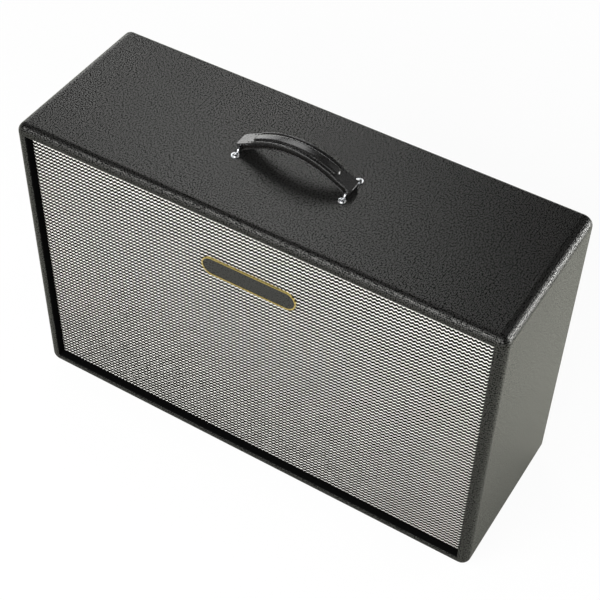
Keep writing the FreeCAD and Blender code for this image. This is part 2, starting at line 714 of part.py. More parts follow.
def capsule(x, radius, low, high, width):
    """An upright slot shape in XZ, drawn out across the handle."""
    ends = [rod(radius, vec(x, -width / 2, z), vec(x, width / 2, z)) for z in (low, high)]
    middle = block((x - radius, x + radius), (-width / 2, width / 2), (low, high))
    return join(ends + [middle])


def padded_crown(radius, centre_z):
    """The stuffed middle of the cover: a bowed ridge with round ends."""
    half = CROWN_WIDTH / 2
    base = centre_z + radius - COVER_THICKNESS / 2
    top = centre_z + radius + CROWN_HEIGHT
    bow = Part.Arc(vec(0, -half, base), vec(0, 0, top), vec(0, half, base)).toShape()
    section = Part.Face(Part.Wire([bow, Part.makeLine(vec(0, half, base), vec(0, -half, base))]))
    angle = HANDLE_BEND * CROWN_SHARE
    swept = section.copy()
    swept.rotate(vec(0, 0, centre_z), Y_AXIS, -angle)
    pieces = [swept.revolve(vec(0, 0, centre_z), Y_AXIS, 2 * angle)]
    half_bow = section.common(block((-1, 1), (0, half + 1), (base - 1, top + 1))).Faces[0]
    for side in SIDES:
        cap = half_bow.revolve(vec(0, 0, base), Z_AXIS, 360)
        cap.rotate(vec(0, 0, centre_z), Y_AXIS, side * angle)
        pieces.append(cap)
    return pieces


def make_handle():
    """Upper leather, lower leather with its loops round the wires, and the core between them."""
    radius, centre_z = handle_arc()
    inner = radius - HANDLE_THICKNESS
    wire_z = TOP_Z + WIRE_HEIGHT
    slot = WIRE_RADIUS + MOVING_GAP
    run = straight_to_wire()
    loops = []
    slots = []
    for side in SIDES:
        x = side * HANDLE_SPAN / 2
        loops.append(capsule(x, slot + LINING_THICKNESS, wire_z - HANDLE_LIFT, wire_z, HANDLE_WIDTH))
        slots.append(capsule(x, slot, wire_z - HANDLE_LIFT, wire_z, HANDLE_WIDTH + 2))
    tongue = run + COVER_OVERHANG
    top_strip = strap(HANDLE_WIDTH, radius, radius - COVER_THICKNESS, tongue, HANDLE_WIDTH / 5)
    cover = join([top_strip] + padded_crown(radius, centre_z))
    under = strap(HANDLE_WIDTH, inner + LINING_THICKNESS, inner, run)
    lining = drill(join([under] + loops), slots)
    core_run = run - slot - LINING_THICKNESS - SEAM_GAP
    core = strap(HANDLE_CORE_WIDTH, radius - COVER_THICKNESS, inner + LINING_THICKNESS, core_run)
    return cover, lining, core


def make_handle_loop(side):
    """Bent wire through the leather's end, with a flat eye for a screw at each foot."""
    x = side * HANDLE_SPAN / 2
    leg_y = HANDLE_WIDTH / 2 + LOOP_SIDE_GAP + WIRE_RADIUS
    bend = WIRE_HEIGHT - EYE_THICKNESS
    wire_z = TOP_Z + WIRE_HEIGHT
    sag = bend * (1 - math.sqrt(0.5))
    foot_z = TOP_Z + EYE_THICKNESS
    bar = rod(WIRE_RADIUS, vec(x, -leg_y + bend, wire_z), vec(x, leg_y - bend, wire_z))
    pieces = [bar]
    for way in SIDES:
        start = vec(x, way * (leg_y - bend), wire_z)
        middle = vec(x, way * (leg_y - sag), wire_z - sag)
        end = vec(x, way * leg_y, foot_z)
        section = Part.Wire(Part.makeCircle(WIRE_RADIUS, start, Y_AXIS))
        path = Part.Wire(Part.Arc(start, middle, end).toShape())
        pieces.append(path.makePipeShell([section], True, False))
        pieces.append(rod(WIRE_RADIUS, vec(x, way * leg_y, TOP_Z), end))
    eyes = [point for point in handle_screw_points(TOP_Z) if abs(point.x - x) < 1]
    for point in eyes:
        pieces.append(rod(EYE_RADIUS, point, point + Z_AXIS * EYE_THICKNESS))
    hole = BOLT_RADIUS + HOLE_CLEARANCE
    holes = [rod(hole, point - Z_AXIS, point + Z_AXIS * (EYE_THICKNESS + 1)) for point in eyes]
    return drill(join(pieces), holes)


def make_handle_fixings():
    """Screws through the eyes, and the tee nuts under the top panel that take them."""
    tee_length = PANEL_THICKNESS * 0.75
    length = EYE_THICKNESS + VINYL_THICKNESS + PANEL_THICKNESS + TEE_FLANGE_THICKNESS
    screws = []
    nuts = []
    for point in handle_screw_points(TOP_Z + EYE_THICKNESS):
        screws.append(pan_screw(point, vec(0, 0, -1), length, BOLT_RADIUS))
        nuts.append(tee_nut(vec(point.x, point.y, CAVITY_HIGH_Z), Z_AXIS, tee_length))
    return screws, nuts


def cone_line():
    """The front face of the cone, from its edge to its neck, as one arc."""
    neck = COIL_RADIUS + COIL_GAP / 2
    edge_y = GASKET_THICKNESS
    neck_y = edge_y + CONE_DEPTH
    middle = ((CONE_RADIUS + neck) / 2 - CONE_BOW, (edge_y + neck_y) / 2 - CONE_BOW * 0.6)
    return arc((CONE_RADIUS, edge_y), middle, (neck, neck_y))


def cone_depth_at(radius):
    curve = cone_line().Curve
    rise = math.sqrt(curve.Radius ** 2 - (radius - curve.Center.x) ** 2)
    depths = [curve.Center.y - rise, curve.Center.y + rise]
    return min(depths, key=lambda depth: abs(depth - GASKET_THICKNESS - CONE_DEPTH / 2))


def make_speaker_parts():
    """One speaker about the Y axis, with the baffle's rear face at depth zero."""
    former = COIL_RADIUS + COIL_GAP / 2
    neck_y = GASKET_THICKNESS + CONE_DEPTH
    landing_y = neck_y + SPIDER_DEPTH
    seat_y = landing_y + BASKET_NECK
    plate_y = seat_y + BASKET_SHEET
    magnet_y = plate_y + FRONT_PLATE_THICKNESS
    back_y = magnet_y + MAGNET_THICKNESS
    sheet = BASKET_SHEET
    lip = SPEAKER_CUTOUT_RADIUS + FLANGE_WIDTH * 0.12
    wall_top = CONE_RADIUS + SURROUND_WIDTH * 0.6
    landing_out = PLATE_RADIUS * 1.4
    landing_in = PLATE_RADIUS * 1.15

    gasket_in = lip + MOVING_GAP
    gasket = turned_points(
        (gasket_in, 0),
        (SPEAKER_RADIUS, 0),
        (SPEAKER_RADIUS, GASKET_THICKNESS),
        (gasket_in, GASKET_THICKNESS),
    )
    slope = sheet * 1.6
    basket = turned_points(
        (SPEAKER_RADIUS, GASKET_THICKNESS),
        (wall_top, GASKET_THICKNESS),
        (landing_out, landing_y),
        (landing_in, landing_y),
        (PLATE_RADIUS, seat_y),
        (PLATE_RADIUS * 0.7, seat_y),
        (PLATE_RADIUS * 0.7, seat_y + sheet),
        (PLATE_RADIUS + sheet, seat_y + sheet),
        (landing_in + sheet, landing_y + sheet),
        (landing_out + sheet, landing_y + sheet),
        (wall_top + slope, FLANGE_REAR_Y),
        (SPEAKER_RADIUS, FLANGE_REAR_Y),
    )
    window_width = 2 * math.pi * landing_out / BASKET_WINDOWS * 0.8
    wall_half = (landing_out + wall_top) / 2
    window = block(
        (wall_half * 0.8, wall_half * 1.3),
        (landing_y * 0.25, landing_y * 0.85),
        (-window_width / 2, window_width / 2),
    )
    openings = []
    for index in range(BASKET_WINDOWS):
        turn = window.copy()
        turn.rotate(ORIGIN, Y_AXIS, 360 / BASKET_WINDOWS * index)
        openings.append(turn)
    bolt_offset = BOLT_CIRCLE_RADIUS / math.sqrt(2)
    holes = []
    for x, z in CORNERS:
        place = vec(x * bolt_offset, -1, z * bolt_offset)
        holes.append(rod(BOLT_RADIUS + 2 * HOLE_CLEARANCE, place, place + Y_AXIS * 8))
    basket = drill(basket, openings + holes)
    gasket = drill(gasket, holes)

    edge_y = GASKET_THICKNESS - PAPER_THICKNESS
    pleats = rolls(CONE_RADIUS + MOVING_GAP, wall_top + 1, edge_y, SURROUND_ROLLS)
    pleats.append(line((wall_top + 1, edge_y), (lip, edge_y)))
    surround = turned(sheet_between(pleats, PAPER_THICKNESS))
    spider_y = landing_y - PAPER_THICKNESS
    ripples = rolls(former + MOVING_GAP, landing_in, spider_y, SPIDER_ROLLS)
    ripples.append(line((landing_in, spider_y), (landing_out - 3, spider_y)))
    spider = turned(sheet_between(ripples, PAPER_THICKNESS))

    cone = turned(sheet_between([cone_line()], PAPER_THICKNESS * 1.2))
    cap_y = cone_depth_at(DUST_CAP_RADIUS) - PAPER_THICKNESS
    shoulder = (DUST_CAP_RADIUS * 0.55, cap_y - DUST_CAP_HEIGHT * 0.72)
    crown = arc((0, cap_y - DUST_CAP_HEIGHT), shoulder, (DUST_CAP_RADIUS, cap_y))
    dust_cap = turned(sheet_between([crown], PAPER_THICKNESS))

    gap_middle = plate_y + FRONT_PLATE_THICKNESS / 2
    wound = former + COIL_GAP
    coil = turned_points(
        (COIL_RADIUS, neck_y - 4),
        (former, neck_y - 4),
        (former, gap_middle - COIL_HEIGHT / 2),
        (wound, gap_middle - COIL_HEIGHT / 2),
        (wound, gap_middle + COIL_HEIGHT / 2),
        (former, gap_middle + COIL_HEIGHT / 2),
        (former, gap_middle + COIL_HEIGHT / 2 + 1),
        (COIL_RADIUS, gap_middle + COIL_HEIGHT / 2 + 1),
    )
    plate_bore = wound + COIL_GAP
    front_plate = turned_points(
        (plate_bore, plate_y), (PLATE_RADIUS, plate_y), (PLATE_RADIUS, magnet_y), (plate_bore, magnet_y)
    )
    magnet = turned_points(
        (MAGNET_HOLE_RADIUS, magnet_y),
        (MAGNET_RADIUS, magnet_y),
        (MAGNET_RADIUS, back_y),
        (MAGNET_HOLE_RADIUS, back_y),
    )
    pole = COIL_RADIUS - COIL_GAP
    back_plate = turned_points(
        (0, plate_y),
        (pole, plate_y),
        (pole, back_y),
        (PLATE_RADIUS, back_y),
        (PLATE_RADIUS, back_y + FRONT_PLATE_THICKNESS),
        (0, back_y + FRONT_PLATE_THICKNESS),
    )
    parts = {
        "basket": basket,
        "gasket": gasket,
        "surround": surround,
        "spider": spider,
        "cone": cone,
        "dust_cap": dust_cap,
        "voice_coil": coil,
        "front_plate": front_plate,
        "magnet": magnet,
        "back_plate": back_plate,
    }
    return parts, landing_y + sheet, landing_out


def terminal_strip(x_side, board_y, board_radius):
    """A fibre board on the basket's shoulder, with two tags, towards the lower middle of the cabinet."""
    x_span = (board_radius - TERMINAL_BEHIND, board_radius + TERMINAL_BEYOND)
    half = TERMINAL_WIDTH / 2
    pieces = [block(x_span, (board_y, board_y + TERMINAL_THICKNESS), (-half, half))]
    middle = board_y + TERMINAL_THICKNESS / 2
    tag_y = (middle - TAG_THICKNESS / 2, middle + TAG_THICKNESS / 2)
    for way in SIDES:
        tag_z = (way * (TAG_SPACING - TAG_WIDTH) / 2, way * (TAG_SPACING + TAG_WIDTH) / 2)
        pieces.append(block((board_radius, board_radius + TAG_LENGTH), tag_y, tag_z))
    strip = join(pieces)
    strip.rotate(ORIGIN, Y_AXIS, 45 if x_side < 0 else 135)
    strip.translate(vec(x_side * SPEAKER_X, BAFFLE_REAR_Y, MIDDLE_Z))
    return strip


def tag_end(x_side, way, board_y, board_radius):
    """The outer end of a tag, and the direction it points."""
    turn = math.radians(45 if x_side < 0 else 135)
    out = vec(math.cos(turn), 0, -math.sin(turn))
    across = vec(math.sin(turn), 0, math.cos(turn))
    centre = vec(x_side * SPEAKER_X, BAFFLE_REAR_Y + board_y + TERMINAL_THICKNESS / 2, MIDDLE_Z)
    return centre + out * (board_radius + TAG_LENGTH) + across * (way * TAG_SPACING / 2), out


def rounded_path(points):
    """Straight runs joined by tangent arcs as large as the shorter run leaves room for."""
    edges = []
    radii = []
    start = points[0]
    for index in range(1, len(points) - 1):
        corner = points[index]
        before = points[index - 1] - corner
        after = points[index + 1] - corner
        reach = 0.45 * min(before.Length, after.Length)
        before.normalize()
        after.normalize()
        half_turn = (math.pi - before.getAngle(after)) / 2
        radius = reach / math.tan(half_turn)
        radii.append(radius)
        bisector = before + after
        bisector.normalize()
        centre = corner + bisector * (radius / math.cos(half_turn))
        first = corner + before * reach
        last = corner + after * reach
        edges.append(Part.makeLine(start, first))
        edges.append(Part.Arc(first, centre - bisector * radius, last).toShape())
        start = last
    edges.append(Part.makeLine(start, points[-1]))
    return Part.Wire(edges), radii


def make_lead(name, points):
    """A round lead along a route; prints its bends and compares its volume with section times length."""
    path, radii = rounded_path(points)
    section = Part.Wire(Part.makeCircle(LEAD_RADIUS, points[0], points[1] - points[0]))
    lead = path.makePipeShell([section], True, False)
    expected = math.pi * LEAD_RADIUS ** 2 * path.Length
    bends = ", ".join("%.0f" % radius for radius in radii)
    ratio = lead.Volume / expected
    print("%s: length %.0f mm, bends %s mm, volume ratio %.3f" % (name, path.Length, bends, ratio))
    return lead


def make_leads(board_y, board_radius):
    """Jack to left speaker along the underside of the brace, and left speaker to right speaker."""
    run_y = BAFFLE_REAR_Y + LEAD_RADIUS + CLIP_WALL
    start, out = tag_end(-1, -1, board_y, board_radius)
    finish, out_far = tag_end(1, -1, board_y, board_radius)
    half_run = SPEAKER_X - SPEAKER_RADIUS + CLIP_WIDTH
    low = start.z - LEAD_LOW
    link_points = [
        start,
        start + out * LEAD_STEP,
        vec(-half_run, run_y, low),
        vec(half_run, run_y, low),
        finish + out_far * LEAD_STEP,
        finish,
    ]
    link = make_lead("link_lead", link_points)
    jack = jack_floor(-1)
    jack_tag = vec(jack.x, jack.y - JACK_BODY_LENGTH - JACK_TAG_LENGTH, jack.z)
    under = MIDDLE_Z - BRACE_SECTION / 2 - LEAD_RADIUS - CLIP_WALL
    upper, out = tag_end(-1, 1, board_y, board_radius)
    jack_points = [
        jack_tag,
        jack_tag - Y_AXIS * LEAD_STEP,
        vec(0, jack_tag.y - LEAD_STEP * 1.2, under),
        vec(0, jack_tag.y - LEAD_STEP * 2.6, under),
        upper + out * LEAD_STEP,
        upper,
    ]
    lead = make_lead("jack_lead", jack_points)
    clip_places = [
        (vec(0, run_y, low), X_AXIS, vec(0, -1, 0)),
        (vec(0, jack_tag.y - LEAD_STEP * 1.9, under), Y_AXIS, Z_AXIS),
    ]
    clips = [make_clip(*place) for place in clip_places]
    return lead, link, clips


def make_clip(point, along, to_face):
    """A small saddle round a lead, with a foot on the face that carries it."""
    half = CLIP_WIDTH / 2
    outer = LEAD_RADIUS + MOVING_GAP + CLIP_WALL
    start = point - along * half
    end = point + along * half
    across = along.cross(to_face)
    face = LEAD_RADIUS + CLIP_WALL
    foot = block((-half, half), (-outer - CLIP_FOOT, outer + CLIP_FOOT), (face - CLIP_WALL, face))
    frame = FreeCAD.Matrix(
        along.x, across.x, to_face.x, point.x,
        along.y, across.y, to_face.y, point.y,
        along.z, across.z, to_face.z, point.z,
        0, 0, 0, 1,
    )
    foot = foot.transformGeometry(frame)
    ring = rod(outer, start, end)
    beyond = block((-CLIP_WIDTH, CLIP_WIDTH), (-2 * outer, 2 * outer), (face, face + outer))
    beyond = beyond.transformGeometry(frame)
    bore = rod(LEAD_RADIUS + MOVING_GAP, start - along, end + along)
    return join([ring, foot]).cut(bore).cut(beyond)


def export(name, shape):
    """Write one node; a list becomes a group of separate solids."""
    whole = Part.makeCompound(shape) if isinstance(shape, list) else shape
    whole.exportStep("parts/%s.step" % name)


def build():
    nodes = {}
    ring = open_through(rounded_shell(VINYL_THICKNESS), 0, RIM_EDGE_RADIUS - VINYL_THICKNESS)
    nodes.update(make_panels(ring))
    nodes["vinyl_covering"] = make_covering(ring)

    x_half = CAVITY_X - BAFFLE_GAP
    z_span = (CAVITY_LOW_Z + BAFFLE_GAP, CAVITY_HIGH_Z - BAFFLE_GAP)
    baffle = block((-x_half, x_half), (BAFFLE_FRONT_Y, BAFFLE_REAR_Y), z_span)
    front_cleats = cleats(BAFFLE_REAR_Y)
    screw_length = BAFFLE_THICKNESS + CLEAT_SECTION * 0.7
    nodes["baffle_screws"] = [countersunk_screw(point, screw_length, 0) for point in baffle_screw_points()]
    bores = [countersunk_screw(point, screw_length, HOLE_CLEARANCE) for point in baffle_screw_points()]
    nodes["baffle_cleats"] = [drill(strip, bores) for strip in front_cleats]
    barrel_bores = []
    bolts = []
    tee_nuts = []
    tee_length = BAFFLE_THICKNESS * 0.6
    for x_side in SIDES:
        near = vec(x_side * SPEAKER_X, BAFFLE_FRONT_Y - 1, MIDDLE_Z)
        far = vec(x_side * SPEAKER_X, BAFFLE_REAR_Y + 1, MIDDLE_Z)
        barrel_bores.append(rod(SPEAKER_CUTOUT_RADIUS, near, far))
        for point in speaker_bolt_points(x_side, BAFFLE_FRONT_Y):
            reach = point + Y_AXIS * (BAFFLE_THICKNESS + 1)
            barrel_bores.append(rod(TEE_BARREL_RADIUS + HOLE_CLEARANCE, point - Y_AXIS, reach))
            tee_nuts.append(tee_nut(point, Y_AXIS, tee_length))
            seat = vec(point.x, BAFFLE_REAR_Y + FLANGE_REAR_Y, point.z)
            head = hexagon(BOLT_RADIUS * 3.2, BOLT_HEAD_HEIGHT, seat, Y_AXIS)
            bolts.append(join([head, rod(BOLT_RADIUS, point, seat)]))
    nodes["baffle_board"] = drill(baffle, bores + barrel_bores)
    nodes["speaker_bolts"] = bolts
    nodes["speaker_tee_nuts"] = tee_nuts

    nodes["grille_frame"], nodes["grille_cloth"] = make_grille()
    nodes["grille_hook_pads"] = make_pads(FRAME_REAR_Y)
    nodes["grille_loop_pads"] = make_pads(FRAME_REAR_Y + PAD_THICKNESS)
    nodes["badge_plate"] = make_badge()

    rear_length = rear_screw_length()
    rear_seats = [point + Y_AXIS * CUP_WASHER_HEIGHT for point in rear_screw_points()]
    rear_bores = []
    rear_screws = []
    for seat in rear_seats:
        rear_bores.append(rod(SCREW_RADIUS + HOLE_CLEARANCE, seat, seat - Y_AXIS * (rear_length + 1)))
        rear_screws.append(pan_screw(seat, vec(0, -1, 0), rear_length, SCREW_RADIUS))
    nodes["rear_panel_screws"] = rear_screws
    nodes["rear_cup_washers"] = [make_cup_washer(point) for point in rear_screw_points()]
    nodes["rear_cleats"] = [drill(strip, rear_bores) for strip in cleats(PANEL_FRONT_Y - CLEAT_SECTION)]
    half = BRACE_SECTION / 2
    brace = block((-half, half), (BAFFLE_REAR_Y, PANEL_FRONT_Y), (MIDDLE_Z - half, MIDDLE_Z + half))
    nodes["centre_brace"] = drill(brace, rear_bores)
    nodes["rear_panel"], nodes["rear_panel_vinyl"] = make_rear_panel()

    nodes["jack_dish"] = make_jack_dish()
    dish_screw_length = DISH_SHEET + REAR_PANEL_THICKNESS * 0.8
    dish_screws = []
    for point in dish_screw_points():
        dish_screws.append(pan_screw(point, vec(0, -1, 0), dish_screw_length, SCREW_RADIUS))
    nodes["jack_dish_screws"] = dish_screws
    nodes["input_jack"] = make_jack(-1)
    nodes["link_jack"] = make_jack(1)
    nodes["jack_nuts"] = [make_jack_nut(x_side) for x_side in SIDES]

    nodes["rubber_feet"], nodes["foot_washers"], nodes["foot_screws"] = make_feet()
    nodes["handle_cover"], nodes["handle_lining"], nodes["handle_core"] = make_handle()
    nodes["handle_loop_left"] = make_handle_loop(-1)
    nodes["handle_loop_right"] = make_handle_loop(1)
    nodes["handle_screws"], nodes["handle_tee_nuts"] = make_handle_fixings()

    parts, board_y, board_radius = make_speaker_parts()
    for prefix, x_side in (("left", -1), ("right", 1)):
        place = vec(x_side * SPEAKER_X, BAFFLE_REAR_Y, MIDDLE_Z)
        for name, shape in parts.items():
            nodes["%s_%s" % (prefix, name)] = shape.translated(place)
    nodes["speaker_terminals"] = [terminal_strip(x_side, board_y, board_radius) for x_side in SIDES]
    nodes["jack_lead"], nodes["link_lead"], nodes["cable_clips"] = make_leads(board_y, board_radius)
    return nodes


os.makedirs("parts", exist_ok=True)
for node_name, node_shape in build().items():
    export(node_name, node_shape)
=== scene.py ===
"""A guitar speaker cabinet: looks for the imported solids, in metres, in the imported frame."""

import math

import bmesh
import bpy
import numpy as np
from mathutils import Matrix, Vector


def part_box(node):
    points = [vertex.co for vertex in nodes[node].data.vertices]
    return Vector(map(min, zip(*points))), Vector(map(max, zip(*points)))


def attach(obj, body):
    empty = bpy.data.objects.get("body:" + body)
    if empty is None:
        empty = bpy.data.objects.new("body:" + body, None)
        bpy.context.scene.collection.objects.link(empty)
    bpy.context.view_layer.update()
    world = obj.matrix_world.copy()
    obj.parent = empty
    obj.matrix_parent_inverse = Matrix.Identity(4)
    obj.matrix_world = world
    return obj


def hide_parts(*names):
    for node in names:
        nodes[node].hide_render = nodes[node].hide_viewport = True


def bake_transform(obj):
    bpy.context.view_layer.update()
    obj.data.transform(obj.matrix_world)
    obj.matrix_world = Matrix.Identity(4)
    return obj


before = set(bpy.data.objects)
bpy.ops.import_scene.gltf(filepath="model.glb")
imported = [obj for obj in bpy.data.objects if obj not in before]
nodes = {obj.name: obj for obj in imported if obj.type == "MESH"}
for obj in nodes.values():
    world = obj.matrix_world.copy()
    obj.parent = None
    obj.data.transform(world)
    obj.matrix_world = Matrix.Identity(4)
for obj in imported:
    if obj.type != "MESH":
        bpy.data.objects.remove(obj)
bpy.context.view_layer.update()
MM = 0.001
WHITE = (1.0, 1.0, 1.0)

# The camera stands high in front, to the right.
CAMERA_PLACE = (0.73127, -1.23195, 1.77781)
CAMERA_RIGHT = (0.852708, 0.522049, 0.018821)
CAMERA_UP = (-0.392316, 0.616181, 0.682942)
CAMERA_BACK = (0.344932, -0.589734, 0.73023)
CAMERA_LENS = 86.06
CAMERA_SENSOR = 36.0
CAMERA_CLIP = (0.05, 100.0)


def make_camera():
    """The camera, with its axes as the columns of its matrix."""
    data = bpy.data.cameras.new("camera")
    data.lens = CAMERA_LENS
    data.sensor_width = CAMERA_SENSOR
    data.clip_start, data.clip_end = CAMERA_CLIP
    camera = bpy.data.objects.new("camera", data)
    bpy.context.scene.collection.objects.link(camera)
    turn = Matrix((CAMERA_RIGHT, CAMERA_UP, CAMERA_BACK)).transposed()
    camera.matrix_world = Matrix.Translation(CAMERA_PLACE) @ turn.to_4x4()
    bpy.context.scene.camera = camera


class Wiring:
    """A node tree being wired, with short calls for the nodes used most."""

    def __init__(self, tree):
        self.tree = tree

    def node(self, kind, **settings):
        """A new shader node with its settings."""
        made = self.tree.nodes.new("ShaderNode" + kind)
        for key, value in settings.items():
            setattr(made, key, value)
        return made

    def put(self, socket, value):
        """Link a socket to another one, or set its number or colour."""
        if isinstance(value, bpy.types.NodeSocket):
            self.tree.links.new(value, socket)
        else:
            socket.default_value = value

    def maths(self, operation, first, second=0.0, third=0.0):
        """One sum on up to three values."""
        made = self.node("Math", operation=operation)
        self.put(made.inputs[0], first)
        self.put(made.inputs[1], second)
        self.put(made.inputs[2], third)
        return made.outputs[0]

    def span(self, value, low, high, from_low=0.3, from_high=0.7):
        """A value carried from one range, by default that of noise, to another, and held at its ends."""
        made = self.node("MapRange")
        self.put(made.inputs["Value"], value)
        made.inputs["From Min"].default_value = from_low
        made.inputs["From Max"].default_value = from_high
        made.inputs["To Min"].default_value = low
        made.inputs["To Max"].default_value = high
        return made.outputs["Result"]

    def blend(self, share, first, second):
        """Two colours mixed by a value."""
        made = self.node("Mix", data_type="RGBA")
        colours = [socket for socket in made.inputs if socket.type == "RGBA"]
        self.put(made.inputs[0], share)
        for socket, colour in zip(colours, (first, second)):
            self.put(socket, (*colour, 1.0) if isinstance(colour, tuple) else colour)
        return [socket for socket in made.outputs if socket.type == "RGBA"][0]


# A face looks along an axis when its normal's share of that axis is above this.
FACING_SHARE = 0.7


class Finish(Wiring):
    """A material being wired, with short calls for the nodes that the finishes share."""

    def __init__(self, name):
        self.material = bpy.data.materials.new(name)
        self.material.use_nodes = True
        super().__init__(self.material.node_tree)
        self.shader = self.tree.nodes["Principled BSDF"]
        self.place = self.node("TexCoord").outputs["Object"]

    def set(self, **values):
        """Fill the shader's inputs, by their names with underscores for spaces."""
        for key, value in values.items():
            self.put(self.shader.inputs[key.replace("_", " ")], value)

    def stretched(self, x, y, z):
        """The place, scaled along each axis."""
        made = self.node("Mapping")
        self.put(made.inputs["Vector"], self.place)
        made.inputs["Scale"].default_value = (x, y, z)
        return made.outputs["Vector"]

    def axes(self):
        """The place's three coordinates."""
        made = self.node("SeparateXYZ")
        self.put(made.inputs["Vector"], self.place)
        return made.outputs["X"], made.outputs["Y"], made.outputs["Z"]

    def noise(self, scale, detail, place=None, distortion=0.0):
        """Soft noise."""
        made = self.node("TexNoise")
        self.put(made.inputs["Vector"], place or self.place)
        made.inputs["Scale"].default_value = scale
        made.inputs["Detail"].default_value = detail
        made.inputs["Distortion"].default_value = distortion
        return made.outputs["Fac"]

    def cells(self, scale, feature="F1"):
        """Distance to the middle of the nearest cell."""
        made = self.node("TexVoronoi", feature=feature)
        self.put(made.inputs["Vector"], self.place)
        made.inputs["Scale"].default_value = scale
        return made.outputs["Distance"]

    def looks_along(self, share):
        """One where a face looks along an axis, and nought elsewhere."""
        return self.maths("GREATER_THAN", self.maths("ABSOLUTE", share), FACING_SHARE)

    def pebbles(self, scale, scatter):
        """Distance to the nearest pebble's middle, laid flat on whichever way the face looks."""
        facing = self.node("SeparateXYZ")
        self.put(facing.inputs["Vector"], self.node("TexCoord").outputs["Normal"])
        upward = self.looks_along(facing.outputs["Z"])
        sideways = self.looks_along(facing.outputs["X"])
        x, y, z = self.axes()
        flat = self.node("CombineXYZ")
        self.put(flat.inputs["X"], self.maths("MULTIPLY_ADD", sideways, self.maths("SUBTRACT", y, x), x))
        self.put(flat.inputs["Y"], self.maths("MULTIPLY_ADD", upward, self.maths("SUBTRACT", y, z), z))
        made = self.node("TexVoronoi", voronoi_dimensions="2D")
        self.put(made.inputs["Vector"], flat.outputs["Vector"])
        made.inputs["Scale"].default_value = scale
        made.inputs["Randomness"].default_value = scatter
        return made.outputs["Distance"]

    def bump(self, height, depth, strength=1.0, before=None):
        """A relief that stands on another one, if there is one; its depth is in metres."""
        made = self.node("Bump")
        made.inputs["Strength"].default_value = strength
        made.inputs["Distance"].default_value = depth
        self.put(made.inputs["Height"], height)
        if before is not None:
            self.put(made.inputs["Normal"], before)
        return made.outputs["Normal"]


# The vinyl's pebbles: the distances from the middle where the top ends and where the crease is deepest.
PEBBLE_SLOPE = (0.12, 0.62)
# Painted shade: the creases are coloured near black, while the pebble tops carry the vinyl's own black.
VINYL_CREASE_SHADE = (0.002, 0.002, 0.0019)
VINYL_TOP = (0.016, 0.016, 0.0153)
VINYL_SHEEN_TINT = (1.0, 1.0, 0.96, 1.0)

# The recess walls stand this far outside the cloth; their turned-in covering carries painted shade, near
# black, matt and without sheen. The painted shade fades out across these distances, past the wall's edge and
# toward the rear.
RECESS_WALL = 0.0022
RECESS_SHADE_EDGE = (-0.0004, 0.0002)
RECESS_SHADE_REAR = (0.0, 0.01)
RECESS_SHADE_COLOUR = (0.003, 0.003, 0.003)
RECESS_SHADE_ROUGHNESS = 0.9


def recess_shade_mask(finish):
    """One on the walls of the front recess, where shade is painted, and nought elsewhere."""
    x, y, z = finish.axes()
    low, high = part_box("grille_cloth")
    side = finish.maths("SUBTRACT", finish.maths("ABSOLUTE", x), high.x + RECESS_WALL)
    end = finish.maths("SUBTRACT", z, (low.z + high.z) / 2)
    end = finish.maths("SUBTRACT", finish.maths("ABSOLUTE", end), (high.z - low.z) / 2 + RECESS_WALL)
    inside = finish.span(finish.maths("MAXIMUM", side, end), 1, 0, *RECESS_SHADE_EDGE)
    return finish.maths("MULTIPLY", inside, finish.span(y, 1, 0, *RECESS_SHADE_REAR))


def vinyl_finish(name):
    """Black vinyl with a pebbled grain: rounded cells, fine creases between, softly glossy tops; shade is
    painted into the creases' colour and sheen, and onto the recess walls.
    """
    finish = Finish(name)
    tops = finish.span(finish.pebbles(scale=430, scatter=0.6), 1, 0, *PEBBLE_SLOPE)
    # Painted shade: the sheen falls almost to nothing in the creases.
    shine = finish.maths("POWER", tops, 2.0)
    pebbled = finish.bump(tops, depth=0.00011)
    grained = finish.bump(finish.noise(scale=2400, detail=1), depth=0.00003, before=pebbled)
    swollen = finish.bump(finish.noise(scale=190, detail=1), depth=0.00016, before=grained)
    # Painted shade on the recess walls: near black, rough and without sheen.
    painted = recess_shade_mask(finish)
    bare = finish.maths("SUBTRACT", 1.0, painted)
    rough = finish.span(tops, 0.36, 0.26, 0.0, 1.0)
    specular = finish.span(shine, 0.03, 1.3, 0.0, 1.0)
    finish.set(
        Base_Color=finish.blend(painted, finish.blend(tops, VINYL_CREASE_SHADE, VINYL_TOP), RECESS_SHADE_COLOUR),
        Roughness=finish.maths("MAXIMUM", rough, finish.maths("MULTIPLY", painted, RECESS_SHADE_ROUGHNESS)),
        Specular_IOR_Level=finish.maths("MULTIPLY", specular, bare),
        Specular_Tint=VINYL_SHEEN_TINT,
        Normal=swollen,
    )
    return finish.material


# The weave's repeat, across and up, and the zigzag of its yarns; the black ones stand prouder than the white.
# All in millimetres. A profile gives places across a yarn, as shares of its half width, and its heights.
WEAVE_X = 6.12
WEAVE_Z = 6.25
ZIGZAG = 1.25
WHITE_AT_CREST = 1.2
WHITE_RISING = 1.0
WHITE_FALLING = 1.55
WHITE_HEIGHT = 0.25
BLACK_HALF = 1.62
BLACK_HEIGHT = 1.3
WHITE_PROFILE = ((-1.0, -0.05), (-0.72, 0.7), (0.0, 1.0), (0.72, 0.7), (1.0, -0.05))
BLACK_PROFILE = ((-1.0, -0.02), (-0.88, 0.8), (0.0, 1.0), (0.88, 0.8), (1.0, -0.02))

# The ground's threads in one repeat, across and up, and the white yarn's twist: its slant, and its pitch in
# metres.
THREADS_ACROSS = 4
THREADS_UP = 6
TWIST_SLANT = 0.7
TWIST_PITCH = 0.0009


